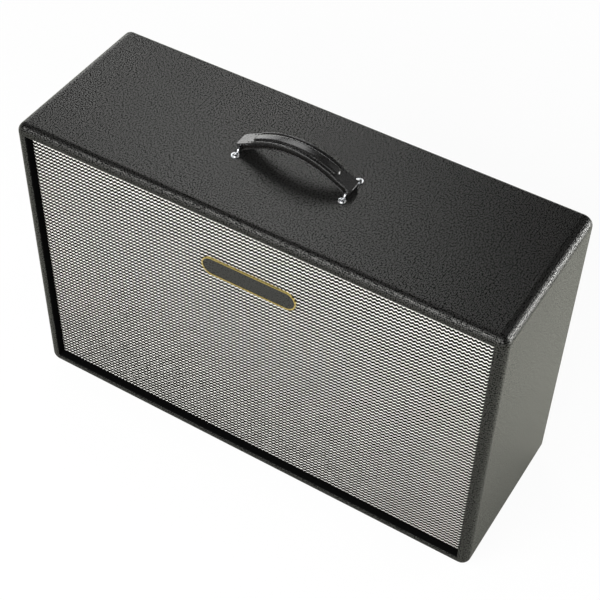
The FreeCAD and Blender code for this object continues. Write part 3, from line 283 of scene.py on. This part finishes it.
def ground_finish(name):
    """The black threads of the grille cloth, close and matt."""
    finish = Finish(name)
    dark = (0.003, 0.003, 0.0025)
    light = (0.012, 0.0115, 0.009)
    x, _, z = finish.axes()
    across = finish.maths("SINE", finish.maths("MULTIPLY", x, 2 * math.pi / (WEAVE_X * MM / THREADS_ACROSS)))
    up = finish.maths("SINE", finish.maths("MULTIPLY", z, 2 * math.pi / (WEAVE_Z * MM / THREADS_UP)))
    weave = finish.maths("MULTIPLY", across, up)
    fuzz = finish.noise(scale=2600, detail=2)
    finish.set(
        Base_Color=finish.blend(finish.span(fuzz, 0, 1), dark, light),
        Roughness=finish.span(fuzz, 0.75, 0.95),
        Specular_IOR_Level=0.06,
        Normal=finish.bump(finish.maths("MULTIPLY_ADD", fuzz, 0.8, weave), depth=0.0002, strength=0.8),
    )
    return finish.material


def yarn_finish(name):
    """Off-white cotton yarn, two plies twisted, with loose fibre."""
    finish = Finish(name)
    cream = (0.8, 0.79, 0.745)
    pale = (0.9, 0.893, 0.86)
    shadow = (0.6, 0.58, 0.52)
    x, _, z = finish.axes()
    slant = finish.maths("MULTIPLY_ADD", z, TWIST_SLANT, x)
    twist = finish.maths("SINE", finish.maths("MULTIPLY", slant, 2 * math.pi / TWIST_PITCH))
    fibre = finish.noise(scale=3200, detail=3)
    dye = finish.noise(scale=120, detail=3)
    tint = finish.blend(finish.span(dye, 0, 1), cream, pale)
    finish.set(
        Base_Color=finish.blend(finish.span(fibre, 0, 0.3), tint, shadow),
        Roughness=finish.span(fibre, 0.7, 0.9),
        Specular_IOR_Level=0.25,
        Normal=finish.bump(finish.maths("MULTIPLY_ADD", fibre, 0.7, twist), depth=0.00012, strength=0.6),
    )
    return finish.material


def leather_finish(name):
    """Polished black leather: very fine pores, faint long creases, a waxed surface."""
    finish = Finish(name)
    dark = (0.007, 0.007, 0.007)
    light = (0.015, 0.0145, 0.014)
    pores = finish.cells(scale=1900, feature="SMOOTH_F1")
    creases = finish.noise(scale=90, detail=4, place=finish.stretched(1.0, 3.0, 1.0), distortion=1.5)
    creased = finish.bump(creases, depth=0.00035, strength=0.5)
    finish.set(
        Base_Color=finish.blend(finish.span(creases, 0, 1), dark, light),
        Roughness=finish.span(finish.noise(scale=300, detail=3), 0.22, 0.32),
        Specular_IOR_Level=0.65,
        Coat_Weight=0.35,
        Coat_Roughness=0.18,
        Normal=finish.bump(pores, depth=0.00008, strength=0.5, before=creased),
    )
    return finish.material


def thread_finish(name):
    """Black waxed thread."""
    finish = Finish(name)
    dark = (0.002, 0.002, 0.002)
    light = (0.008, 0.008, 0.008)
    twist = finish.noise(scale=4200, detail=2)
    finish.set(
        Base_Color=finish.blend(finish.span(twist, 0, 1), dark, light),
        Roughness=finish.span(twist, 0.6, 0.85),
        Specular_IOR_Level=0.2,
        Normal=finish.bump(twist, depth=0.00015, strength=0.8),
    )
    return finish.material


# How far in from the plate's edge the enamel ends and the whole gilt begins, in metres.
ENAMEL_END = 0.0021
GILT_START = 0.0018


def badge_finish(name):
    """Black enamel inside a gilt rim, told apart by the distance from the plate's middle line."""
    finish = Finish(name)
    low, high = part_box("badge_plate")
    half = (high.z - low.z) / 2
    x, _, z = finish.axes()
    beyond = finish.maths("SUBTRACT", finish.maths("ABSOLUTE", x), high.x - half)
    beyond = finish.maths("MAXIMUM", beyond, 0.0)
    up = finish.maths("SUBTRACT", z, (low.z + high.z) / 2)
    square = finish.maths("MULTIPLY_ADD", beyond, beyond, finish.maths("POWER", up, 2.0))
    rim = finish.span(finish.maths("SQRT", square), 0, 1, half - ENAMEL_END, half - GILT_START)
    worn = finish.noise(scale=700, detail=3)
    gilt = finish.blend(finish.span(worn, 0, 1), (0.62, 0.46, 0.13), (0.78, 0.62, 0.24))
    enamel = finish.blend(finish.span(worn, 0, 1), (0.008, 0.008, 0.008), (0.014, 0.014, 0.014))
    finish.set(
        Base_Color=finish.blend(rim, enamel, gilt),
        Metallic=rim,
        Roughness=finish.span(worn, 0.22, 0.34),
        Normal=finish.bump(finish.noise(scale=900, detail=2), depth=0.00006, strength=0.4),
    )
    return finish.material


def metal_finish(name, dark, light, rough):
    """A plated or polished metal with faint handling marks."""
    finish = Finish(name)
    marks = finish.noise(scale=260, detail=4)
    finish.set(
        Base_Color=finish.blend(finish.span(marks, 0, 1), dark, light),
        Metallic=1.0,
        Roughness=finish.span(finish.noise(scale=650, detail=3), *rough),
        Normal=finish.bump(marks, depth=0.00003, strength=0.4),
    )
    return finish.material


# A grained surface's tone varies more slowly than its grain, by this share.
TONE_SHARE = 0.35


def grained_finish(name, dark, light, rough, scale, depth, specular, cellular):
    """A moulded, painted or fibrous surface with an even grain."""
    finish = Finish(name)
    grain = finish.cells(scale) if cellular else finish.noise(scale, detail=4)
    tone = finish.noise(scale * TONE_SHARE, detail=3)
    finish.set(
        Base_Color=finish.blend(finish.span(tone, 0, 1), dark, light),
        Roughness=finish.span(tone, *rough),
        Specular_IOR_Level=specular,
        Normal=finish.bump(grain, depth, strength=0.7),
    )
    return finish.material


def ply_finish(name):
    """Birch ply, with its figure drawn out along the cabinet."""
    finish = Finish(name)
    dark = (0.47, 0.29, 0.13)
    light = (0.66, 0.47, 0.26)
    figure = finish.noise(scale=30, detail=5, place=finish.stretched(0.6, 5.0, 5.0), distortion=0.8)
    pores = finish.noise(scale=900, detail=2, place=finish.stretched(0.08, 1.0, 1.0))
    finish.set(
        Base_Color=finish.blend(finish.span(figure, 0, 1, 0.35, 0.65), dark, light),
        Roughness=finish.span(pores, 0.5, 0.75),
        Normal=finish.bump(pores, depth=0.0001, strength=0.5),
    )
    return finish.material


# Two colours of each metal, darker and lighter, and its range of roughness.
METALS = {
    "chrome": ((0.74, 0.75, 0.77), (0.86, 0.87, 0.88), (0.2, 0.32)),
    "plated_steel": ((0.46, 0.46, 0.43), (0.62, 0.62, 0.58), (0.28, 0.42)),
    "cup_washers": ((0.62, 0.6, 0.55), (0.78, 0.76, 0.7), (0.16, 0.28)),
    "coil_copper": ((0.6, 0.26, 0.13), (0.78, 0.4, 0.22), (0.25, 0.4)),
}

# Two colours of each grained surface, its range of roughness, its grain's scale and depth, and its specular
# level.
BLACK = (0.012, 0.012, 0.0125)
GRAINED = {
    "hook_and_loop": (BLACK, (0.03, 0.03, 0.03), (0.8, 0.95), 2200, 0.0005, 0.2),
    # The handle filler keeps its own dark colour, taken down to near black as painted shade in the gap
    # between the leathers.
    "handle_filler": ((0.003, 0.003, 0.003), (0.008, 0.007, 0.006), (0.8, 0.95), 900, 0.0003, 0.06),
    "black_screws": (BLACK, (0.035, 0.035, 0.036), (0.3, 0.45), 800, 0.00004, 0.6),
    "dish_steel": (BLACK, (0.022, 0.022, 0.023), (0.4, 0.55), 1100, 0.00012, 0.5),
    "socket_plastic": (BLACK, (0.026, 0.026, 0.027), (0.38, 0.5), 700, 0.00008, 0.5),
    "foot_rubber": ((0.014, 0.014, 0.014), (0.032, 0.032, 0.031), (0.7, 0.88), 500, 0.0002, 0.35),
    "basket_steel": ((0.02, 0.02, 0.021), (0.04, 0.04, 0.042), (0.4, 0.55), 900, 0.0001, 0.5),
    "gasket_cork": ((0.2, 0.1, 0.045), (0.4, 0.23, 0.11), (0.8, 0.95), 480, 0.0004, 0.2),
    "ferrite": ((0.03, 0.03, 0.032), (0.06, 0.06, 0.063), (0.5, 0.7), 350, 0.00015, 0.4),
    "cone_paper": ((0.02, 0.018, 0.016), (0.05, 0.046, 0.04), (0.8, 0.95), 620, 0.0003, 0.2),
    "spider_cloth": ((0.36, 0.2, 0.06), (0.52, 0.32, 0.12), (0.7, 0.88), 1600, 0.0003, 0.2),
    "terminal_board": ((0.16, 0.075, 0.03), (0.25, 0.13, 0.06), (0.5, 0.65), 700, 0.0001, 0.4),
    "lead_sheath": (BLACK, (0.024, 0.024, 0.025), (0.4, 0.52), 420, 0.00008, 0.5),
    "clip_nylon": ((0.6, 0.58, 0.52), (0.74, 0.73, 0.68), (0.4, 0.55), 600, 0.00008, 0.5),
}


def finishes():
    """A material for each slot of the record, by name."""
    made = {
        "ply": ply_finish("ply"),
        "vinyl": vinyl_finish("vinyl"),
        "grille_weave": ground_finish("grille_ground"),
        "badge": badge_finish("badge"),
        "handle_leather": leather_finish("handle_leather"),
    }
    for slot, values in METALS.items():
        made[slot] = metal_finish(slot, *values)
    for slot, values in GRAINED.items():
        made[slot] = grained_finish(slot, *values, cellular=slot == "gasket_cork")
    return made


def slot_of(material):
    """A material's slot in the record: its name without the number that Blender adds."""
    return material.name.split(".")[0]


def dress(made):
    """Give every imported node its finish."""
    for node in nodes.values():
        for index, material in enumerate(node.data.materials):
            node.data.materials[index] = made[slot_of(material)]


def piece(name, points, faces, material, body):
    """A smooth-shaded mesh that rides on a body, if one is named; its points are in millimetres."""
    mesh = bpy.data.meshes.new(name)
    mesh.from_pydata([tuple(value * MM for value in point) for point in points], [], faces)
    mesh.validate()
    tidy = bmesh.new()
    tidy.from_mesh(mesh)
    bmesh.ops.recalc_face_normals(tidy, faces=tidy.faces)
    tidy.to_mesh(mesh)
    tidy.free()
    mesh.shade_smooth()
    mesh.materials.append(material)
    made = bpy.data.objects.new(name, mesh)
    bpy.context.scene.collection.objects.link(made)
    if body:
        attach(made, body)
    return made


def tube(rings, closed_ends=True):
    """Points and faces of a skin through rings of equal count."""
    points = [point for ring in rings for point in ring]
    count = len(rings[0])
    faces = []
    for row in range(len(rings) - 1):
        for index in range(count):
            after = (index + 1) % count
            low = row * count
            faces.append((low + index, low + after, low + count + after, low + count + index))
    if closed_ends:
        faces.append(tuple(range(count))[::-1])
        faces.append(tuple(range((len(rings) - 1) * count, len(rings) * count)))
    return points, faces


def ridges(z_rows, waves, stations, profile, front, height):
    """Yarns that zigzag across the cloth; a station is a height above the row and the half width there."""
    points = []
    faces = []
    count = len(profile)
    for z_row in z_rows:
        for step in range(len(stations) * waves + 1):
            x = (step / len(stations) - waves / 2) * WEAVE_X
            up, half = stations[step % len(stations)]
            here = len(points)
            points += [(x, front - height * lift, z_row + up + half * share) for share, lift in profile]
            if step:
                for index in range(here, here + count - 1):
                    faces.append((index, index + 1, index + 1 - count, index - count))
    return points, faces


# The cloth's ground, in millimetres: how far its face and its rear lie inside the CAD cloth, the flap that
# turns in behind the frame, the slope at the frame's front edge, and how far its edges lie inside.
GROUND_FRONT = 0.45
GROUND_REAR = 0.3
CLOTH_FLAP = 18.0
CLOTH_SLOPE = 0.8
CLOTH_EDGE = 0.2


def make_ground(made, low, high, front):
    """The cloth's black ground, drawn over the frame's edges and turned in behind."""
    rear = high.y - GROUND_REAR
    face_edge = (CLOTH_SLOPE, front)
    front_edge = (CLOTH_EDGE, front + CLOTH_SLOPE)
    rear_edge = (CLOTH_EDGE, rear)
    flap_edge = (CLOTH_FLAP, rear)
    rings = []
    for inset, y in (face_edge, front_edge, rear_edge, flap_edge):
        x_half = high.x - inset
        z_low = low.z + inset
        z_high = high.z - inset
        rings.append([(-x_half, y, z_low), (x_half, y, z_low), (x_half, y, z_high), (-x_half, y, z_high)])
    points, faces = tube(rings, closed_ends=False)
    faces.append((0, 1, 2, 3))
    ground = piece("grille_ground", points, faces, made["grille_weave"], "cabinet")
    ground.data.shade_flat()
    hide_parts("grille_cloth")
    return ground


def make_grille(made):
    """The cloth: a black ground, and on its face white zigzag yarns with prouder black ones between."""
    low, high = (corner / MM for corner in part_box("grille_cloth"))
    front = low.y + GROUND_FRONT
    ground = make_ground(made, low, high, front)
    waves = int(2 * (high.x - CLOTH_SLOPE) / WEAVE_X)
    rows = int((high.z - low.z - 2 * ZIGZAG - 2 * WHITE_AT_CREST) / WEAVE_Z) + 1
    z_rows = [(low.z + high.z - (rows - 1) * WEAVE_Z) / 2 + row * WEAVE_Z for row in range(rows)]
    crest = (ZIGZAG, WHITE_AT_CREST)
    trough = (-ZIGZAG, WHITE_AT_CREST)
    stations = (crest, (0.0, WHITE_FALLING), trough, (0.0, WHITE_RISING))
    points, faces = ridges(z_rows, waves, stations, WHITE_PROFILE, front, WHITE_HEIGHT)
    yarns = piece("grille_yarns", points, faces, yarn_finish("grille_yarn"), "cabinet")
    z_rows = [z_row + WEAVE_Z / 2 for z_row in z_rows[:-1]]
    stations = ((ZIGZAG, BLACK_HALF), (-ZIGZAG, BLACK_HALF))
    points, faces = ridges(z_rows, waves, stations, BLACK_PROFILE, front, BLACK_HEIGHT)
    dark = piece("grille_dark_yarns", points, faces, made["grille_weave"], "cabinet")


# The handle, in millimetres: the strap's outer face is an arc with straight ends, and a wire sits under each.
HANDLE_BEND = math.radians(27.5)
ARC_RADIUS = 124.55
ARC_HALF = ARC_RADIUS * HANDLE_BEND
STRAIGHT = 32.0
OVERHANG = 4.0
STRAP_HALF = 12.5
COVER = 2.2
STRAP_DEPTH = 9.9

# The cover's padded crown, the seam beside it and the flanges; the last four shape the pad and the seam.
CROWN_HALF = 8.0
CROWN_REACH = 61.0
CROWN_HEIGHT = 3.5
PAD_HEIGHT = 2.1
SEAM_DEPTH = 0.3
FLANGE_LIFT = 1.1
PAD_FLATNESS = 5
PAD_SHOULDER = 0.9
SEAM_SHARPNESS = 8
SEAM_FADE = 5

# The cover's edges: folded under along the middle, flat and rounded at the tongues.
FOLD_DEPTH = 4.8
FOLD_WIDTH = 2.6
FOLD_REACH = 84.0
FOLD_FADE = 12.0
FOLD_ROUND = 0.4
FOLD_SLOPE = 0.2
TONGUE_CORNER = 5.0
COVER_EDGE = 0.9
COVER_STATIONS = 193
COVER_COLUMNS = 33

# The lining leaves its straight run before the wire, swings down in a curve led by two reins, goes round the
# wire with room for the handle's lift, and ends in a short tail. An edge is a share across and its rounding.
LINING = 1.8
WIRE_DEPTH = 6.35
LOOP_RADIUS = 3.2
LOOP_LIFT = 2.5
LINING_LEAVE = 10
LINING_TURN_IN = math.radians(-105)
LINING_FIRST_REIN = 4.5
LINING_LAST_REIN = (3.2, 0.85)
LINING_TAIL = (1.2, 2.4, 3.6)
LINING_RUN_STATIONS = 60
LINING_SWING_STATIONS = 9
LINING_LOW_STATIONS = 12
LINING_TOP_STATIONS = 8
LINING_EDGES = ((-1.0, 0.5), (-0.985, 0.15), (-0.95, 0.0), (0.0, 0.0), (0.95, 0.0), (0.985, 0.15), (1.0, 0.5))

# The stitches: each fills a share of the pitch, arches up from below the leather and tapers to its tips.
STITCH_ROW = 8.9
STITCH_PITCH = 5.3
STITCH_REACH = 75.0
STITCH_SHARE = 0.66
STITCH_THICK = 0.65
STITCH_FLATNESS = 0.8
STITCH_ARCH = 0.32
STITCH_SINK = 0.22
STITCH_TAPER = 0.9
STITCH_TIP = 0.1
STITCH_RINGS = 7
STITCH_SIDES = 6


def strap_point(along, out, across, top):
    """A point of the strap: along its outer face from the middle, out from that face, and across."""
    centre = top - ARC_RADIUS
    bent = max(-ARC_HALF, min(ARC_HALF, along))
    angle = bent / ARC_RADIUS
    past = along - bent
    x = (ARC_RADIUS + out) * math.sin(angle) + past * math.cos(angle)
    z = centre + (ARC_RADIUS + out) * math.cos(angle) - past * math.sin(angle)
    return (x, across, z)


def cover_rise(along, across):
    """Height of the cover over the strap's outer face: a flat-topped pad, its seam, and rising flanges."""
    past = max(0.0, abs(along) - CROWN_REACH)
    reach = math.hypot(across, past) / CROWN_HALF
    if reach < 1:
        pad = PAD_HEIGHT * (1 - reach ** PAD_FLATNESS) ** PAD_SHOULDER
        return pad - SEAM_DEPTH * reach ** SEAM_SHARPNESS
    return flange_lift(along, across) - SEAM_DEPTH * max(0.0, 1 - (reach - 1) * SEAM_FADE)


def flange_lift(along, across):
    """How far the flange has curled up from the seam; the tongues stay flat."""
    beside = min(1.0, max(0.0, (CROWN_REACH + CROWN_HALF - abs(along)) / CROWN_HALF))
    out = max(0.0, abs(across) - CROWN_HALF) / (STRAP_HALF - CROWN_HALF)
    return FLANGE_LIFT * beside * math.sin(out * math.pi / 2)


def make_cover(made, top):
    """The upper leather: a strip with soft edges, rounded tongues and a stuffed middle."""
    end = ARC_HALF + STRAIGHT + OVERHANG
    columns = [math.sin(step * math.pi / 2) for step in np.linspace(-1, 1, COVER_COLUMNS)]
    rings = []
    for along in np.linspace(-end, end, COVER_STATIONS):
        left = TONGUE_CORNER - (end - abs(along))
        half = STRAP_HALF
        if left > 0:
            half -= TONGUE_CORNER - math.sqrt(max(0.0, TONGUE_CORNER ** 2 - left ** 2))
        upper = []
        for share in columns:
            across = half * share
            near_edge = max(0.0, COVER_EDGE - (half - abs(across)))
            soft = COVER_EDGE - math.sqrt(max(0.0, COVER_EDGE ** 2 - near_edge ** 2))
            out = cover_rise(along, across) - soft
            upper.append(strap_point(along, out, across, top))
        fold = min(1.0, max(0.0, (FOLD_REACH - abs(along)) / FOLD_FADE))
        deep = COVER + (FOLD_DEPTH - COVER) * fold
        inner = half - FOLD_WIDTH
        below = [(half, FOLD_ROUND - deep), (half - FOLD_ROUND, -deep), (inner, -deep)]
        below.append((inner - FOLD_SLOPE, -COVER))
        below += [(-across, out) for across, out in below[::-1]]
        under = [strap_point(along, out, across, top) for across, out in below]
        rings.append(upper + under)
    points, faces = tube(rings)
    cover = piece("handle_cover_leather", points, faces, made["handle_leather"], "handle")
    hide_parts("handle_cover")


def round_wire(middle, angle):
    """A point of the lining's middle line on its way round the wire."""
    return (middle[0] + LOOP_RADIUS * math.cos(angle), middle[1] + LOOP_RADIUS * math.sin(angle))


def lining_path():
    """The lower leather's middle line, as (along, out), from the strap's middle round the wire at one end."""
    wire = (ARC_HALF + STRAIGHT, -WIRE_DEPTH)
    low = (wire[0] + LOOP_LIFT * math.sin(HANDLE_BEND), wire[1] - LOOP_LIFT * math.cos(HANDLE_BEND))
    flat = LINING / 2 - STRAP_DEPTH
    path = [(along, flat) for along in np.linspace(0, wire[0] - LINING_LEAVE, LINING_RUN_STATIONS)]
    goal = round_wire(low, LINING_TURN_IN)
    first_rein = (path[-1][0] + LINING_FIRST_REIN, flat)
    last_rein = (goal[0] - LINING_LAST_REIN[0], goal[1] + LINING_LAST_REIN[1])
    reins = [path[-1], first_rein, last_rein, goal]
    for step in np.linspace(0, 1, LINING_SWING_STATIONS)[1:-1]:
        weights = [(1 - step) ** 3, 3 * step * (1 - step) ** 2, 3 * step ** 2 * (1 - step), step ** 3]
        path.append(tuple(sum(w * p[axis] for w, p in zip(weights, reins)) for axis in (0, 1)))
    for angle in np.linspace(LINING_TURN_IN, HANDLE_BEND, LINING_LOW_STATIONS):
        path.append(round_wire(low, angle))
    for angle in np.linspace(HANDLE_BEND, math.pi / 2, LINING_TOP_STATIONS):
        path.append(round_wire(wire, angle))
    path += [(wire[0] - back, wire[1] + LOOP_RADIUS) for back in LINING_TAIL]
    return path


def make_lining(made, top):
    """The lower leather: one strip that runs under the strap and turns round the wire at both ends."""
    right = lining_path()
    left = [(-along, out) for along, out in right[:0:-1]]
    line = [Vector(strap_point(along, out, 0.0, top)) for along, out in left + right]
    rings = []
    for index, spot in enumerate(line):
        before = line[max(0, index - 1)]
        after = line[min(len(line) - 1, index + 1)]
        ahead = (after - before).normalized()
        out = Vector((-ahead.z, 0.0, ahead.x))
        ring = []
        for way in (1, -1):
            for share, round_off in LINING_EDGES:
                across = Vector((0.0, way * share * STRAP_HALF, 0.0))
                ring.append(tuple(spot + across + out * (way * (LINING / 2 - round_off))))
        rings.append(ring)
    points, faces = tube(rings)
    lining = piece("handle_lining_leather", points, faces, made["handle_leather"], "handle")
    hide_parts("handle_lining")


def make_stitches(top):
    """Two rows of stitches along the cover's flanges, each a short thread sunk at its ends."""
    points = []
    faces = []
    count = int(STITCH_REACH / STITCH_PITCH)
    length = STITCH_PITCH * STITCH_SHARE
    turns = np.linspace(0, 2 * math.pi, STITCH_SIDES + 1)[:-1]
    for side in (-1, 1):
        for number in range(-count, count + 1):
            middle = number * STITCH_PITCH
            rings = []
            for share in np.linspace(-1, 1, STITCH_RINGS):
                along = middle + share * length / 2
                face = cover_rise(along, STITCH_ROW)
                lift = STITCH_ARCH * (1 - share ** 2) - STITCH_SINK
                size = STITCH_THICK * math.sqrt(max(STITCH_TIP, 1 - share ** 4 * STITCH_TAPER))
                ring = []
                for turn in turns:
                    out = lift + face + size * STITCH_FLATNESS * math.sin(turn)
                    across = side * STITCH_ROW + size * math.cos(turn)
                    ring.append(strap_point(along, out, across, top))
                rings.append(ring)
            more, skin = tube(rings)
            base = len(points)
            points += more
            faces += [tuple(base + corner for corner in corners) for corners in skin]
    piece("handle_stitches", points, faces, thread_finish("stitch_thread"), "handle")


def make_handle(made):
    """The strap handle's leathers and its stitching."""
    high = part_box("handle_cover")[1]
    top = high.z / MM - CROWN_HEIGHT
    make_cover(made, top)
    make_lining(made, top)
    make_stitches(top)


# The flexing rings of each speaker: the radii where the pleats begin and end, in millimetres, the number of
# pleats, and the number of sectors that the ring is cut into. A pleat's height is a share of its width.
RINGS = {
    "surround": (121.75, 134.58, 3, 10),
    "spider": (22.6, 69.0, 5, 6),
}
PLEAT_SHARE = 0.22
PLEAT_STEPS = 8
RING_PAPER = 0.8
RING_STEP = math.radians(4.5)


def ring_profile(inner, outer, pleats, rim, front):
    """Radius and depth along a pleated ring's front, and back along its rear."""
    pitch = (outer - inner) / pleats
    line = []
    for step in range(pleats * PLEAT_STEPS + 1):
        wave = math.sin(math.pi * step / PLEAT_STEPS)
        line.append((inner + pitch * step / PLEAT_STEPS, front - PLEAT_SHARE * pitch * wave))
    line.append((rim, front))
    return line + [(radius, depth + RING_PAPER) for radius, depth in line[::-1]]


def make_ring(side, part):
    """One pleated ring in sectors, each drawn from the basket at its rim to the cone at its inner edge."""
    node = side + "_" + part
    inner, outer, pleats, sectors = RINGS[part]
    low, high = (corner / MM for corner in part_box(node))
    middle = (low + high) / 2
    front = low.y + PLEAT_SHARE * (outer - inner) / pleats
    profile = ring_profile(inner, outer, pleats, high.x - middle.x, front)
    width = 2 * math.pi / sectors
    turns = np.linspace(-width / 2, width / 2, round(width / RING_STEP) + 1)
    material = nodes[node].data.materials[0]
    for index in range(sectors):
        way = index * width
        rings = []
        for turn in turns:
            across = math.cos(way + turn)
            up = math.sin(way + turn)
            rings.append([(middle.x + r * across, depth, middle.z + r * up) for r, depth in profile])
        points, faces = tube(rings)
        sector = piece(node + "_sector_" + str(index), points, faces, material, None)
        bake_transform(sector)
        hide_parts(node)


def make_rings():
    """The surround and the spider of both speakers."""
    for side in ("left", "right"):
        for part in RINGS:
            make_ring(side, part)


# The floor's own glow: its share of what the camera sees near the object, which rises to all of it between
# two distances from the middle. In reflections it is tinted, and painted shade dims it close to the object
# and in front.
FLOOR_HALF = 30.0
FLOOR_COLOUR = (0.9, 0.9, 0.9, 1.0)
FLOOR_GLOW = 0.94
FLOOR_GLOW_FADE = (0.7, 2.5)
FLOOR_MIRRORED_TINT = (0.99, 1.0, 0.88)
FLOOR_SHADE_REACH = 0.24
FLOOR_SHADE_SAMPLES = 8
FLOOR_FRONT_SHADED_LEVEL = 0.6
FLOOR_FRONT_SHADE_FADE = (-0.25, 0.05)


def is_mirrored(wires, path):
    """One for rays that come off a glossy surface or through a clear one, and nought for others."""
    return wires.maths("MAXIMUM", path["Is Glossy Ray"], path["Is Transmission Ray"])


def make_floor():
    """A plain pale floor: bright to the eye and in reflections, and it still takes the object's shadow."""
    finish = Finish("floor")
    finish.set(Base_Color=FLOOR_COLOUR, Roughness=0.9, Specular_IOR_Level=0.1)
    path = finish.node("LightPath").outputs
    by_camera = path["Is Camera Ray"]
    away = finish.node("VectorMath", operation="LENGTH")
    finish.put(away.inputs[0], finish.place)
    own = finish.span(away.outputs["Value"], FLOOR_GLOW, 1.0, *FLOOR_GLOW_FADE)
    seen = finish.maths("MULTIPLY_ADD", by_camera, own, is_mirrored(finish, path))
    # Painted shade: in reflections the floor's glow dims close to the object and in front.
    shade = finish.node("AmbientOcclusion", samples=FLOOR_SHADE_SAMPLES)
    shade.inputs["Distance"].default_value = FLOOR_SHADE_REACH
    level = finish.span(finish.axes()[1], FLOOR_FRONT_SHADED_LEVEL, 1.0, *FLOOR_FRONT_SHADE_FADE)
    level = finish.maths("MULTIPLY", shade.outputs["AO"], level)
    glow = finish.node("Emission")
    finish.put(glow.inputs["Color"], finish.blend(by_camera, FLOOR_MIRRORED_TINT, WHITE))
    finish.put(glow.inputs["Strength"], finish.maths("MAXIMUM", by_camera, level))
    mix = finish.node("MixShader")
    finish.put(mix.inputs[0], seen)
    finish.put(mix.inputs[1], finish.shader.outputs[0])
    finish.put(mix.inputs[2], glow.outputs[0])
    finish.put(finish.tree.nodes["Material Output"].inputs["Surface"], mix.outputs[0])
    mesh = bpy.data.meshes.new("floor")
    corners = [(x * FLOOR_HALF, y * FLOOR_HALF, 0.0) for x, y in ((-1, -1), (1, -1), (1, 1), (-1, 1))]
    mesh.from_pydata(corners, [], [(0, 1, 2, 3)])
    mesh.materials.append(finish.material)
    floor = bpy.data.objects.new("floor", mesh)
    bpy.context.scene.collection.objects.link(floor)


# The studio: a dim dome, white at the horizon in reflections, and the softboxes. A softbox has a place, a
# size and a power; it lights matt surfaces only, or shows in glossy ones only, or does both. All face one
# point.
DOME_LEVEL = 0.01
HORIZON_TOP = 0.3
HORIZON_FALL = 8.0
LAMP_AIM = (0.0, 0.0, 0.3)
LAMPS = {
    "front_light": ((-0.4, -2.2, 1.65), (2.8, 1.8), 113.0, "matt"),
    "front_sheen": ((0.1, -2.05, 1.93), (3.8, 0.77), 65.0, "gloss"),
    "front_low_sheen": ((0.1, -2.53, 0.885), (3.8, 1.06), 18.0, "gloss"),
    "back_left_light": ((-1.1, 1.55, 2.5), (1.3, 1.4), 14.0, "all"),
    "left_light": ((-2.15, 1.6, 1.1), (0.9, 1.4), 8.5, "all"),
    "back_light": ((-0.9, 2.5, 0.95), (2.2, 0.3), 7.5, "all"),
    "back_right_light": ((1.25, 1.7, 2.3), (1.0, 0.8), 1.0, "all"),
    "front_right_light": ((1.6, -2.4, 1.5), (0.9, 0.9), 38.0, "matt"),
    "right_low_sheen": ((1.31, 0.75, 0.235), (0.9, 0.42), 4.2, "gloss"),
    "right_light": ((2.3, 1.8, 0.75), (0.8, 1.3), 36.0, "all"),
}


def softbox(name, place, size, power, kind):
    """A rectangular lamp that the camera doesn't see."""
    data = bpy.data.lights.new(name, "AREA")
    data.shape = "RECTANGLE"
    data.size, data.size_y = size
    data.energy = power
    lamp = bpy.data.objects.new(name, data)
    lamp.location = place
    lamp.rotation_euler = (Vector(place) - Vector(LAMP_AIM)).to_track_quat("Z", "Y").to_euler()
    lamp.visible_camera = False
    lamp.visible_diffuse = kind != "gloss"
    lamp.visible_glossy = kind != "matt"
    bpy.context.scene.collection.objects.link(lamp)


def make_light():
    """The dome, white all over to the eye, and the softboxes."""
    world = bpy.data.worlds.new("studio")
    bpy.context.scene.world = world
    world.use_nodes = True
    wires = Wiring(world.node_tree)
    axes = wires.node("SeparateXYZ")
    wires.put(axes.inputs[0], wires.node("TexCoord").outputs["Generated"])
    low = wires.span(axes.outputs["Z"], 1.0, 0.0, 0.0, HORIZON_TOP)
    band = wires.maths("POWER", low, HORIZON_FALL)
    path = wires.node("LightPath").outputs
    mirrored = wires.maths("MULTIPLY", is_mirrored(wires, path), band)
    seen = wires.maths("MAXIMUM", path["Is Camera Ray"], mirrored)
    back = world.node_tree.nodes["Background"]
    wires.put(back.inputs["Strength"], wires.maths("MAXIMUM", seen, DOME_LEVEL))
    wires.put(back.inputs["Color"], (*WHITE, 1.0))
    for name, values in LAMPS.items():
        softbox(name, *values)


make_camera()
make_light()
make_floor()
made = finishes()
dress(made)
make_grille(made)
make_handle(made)
make_rings()

bpy.context.scene.view_settings.view_transform = "Standard"
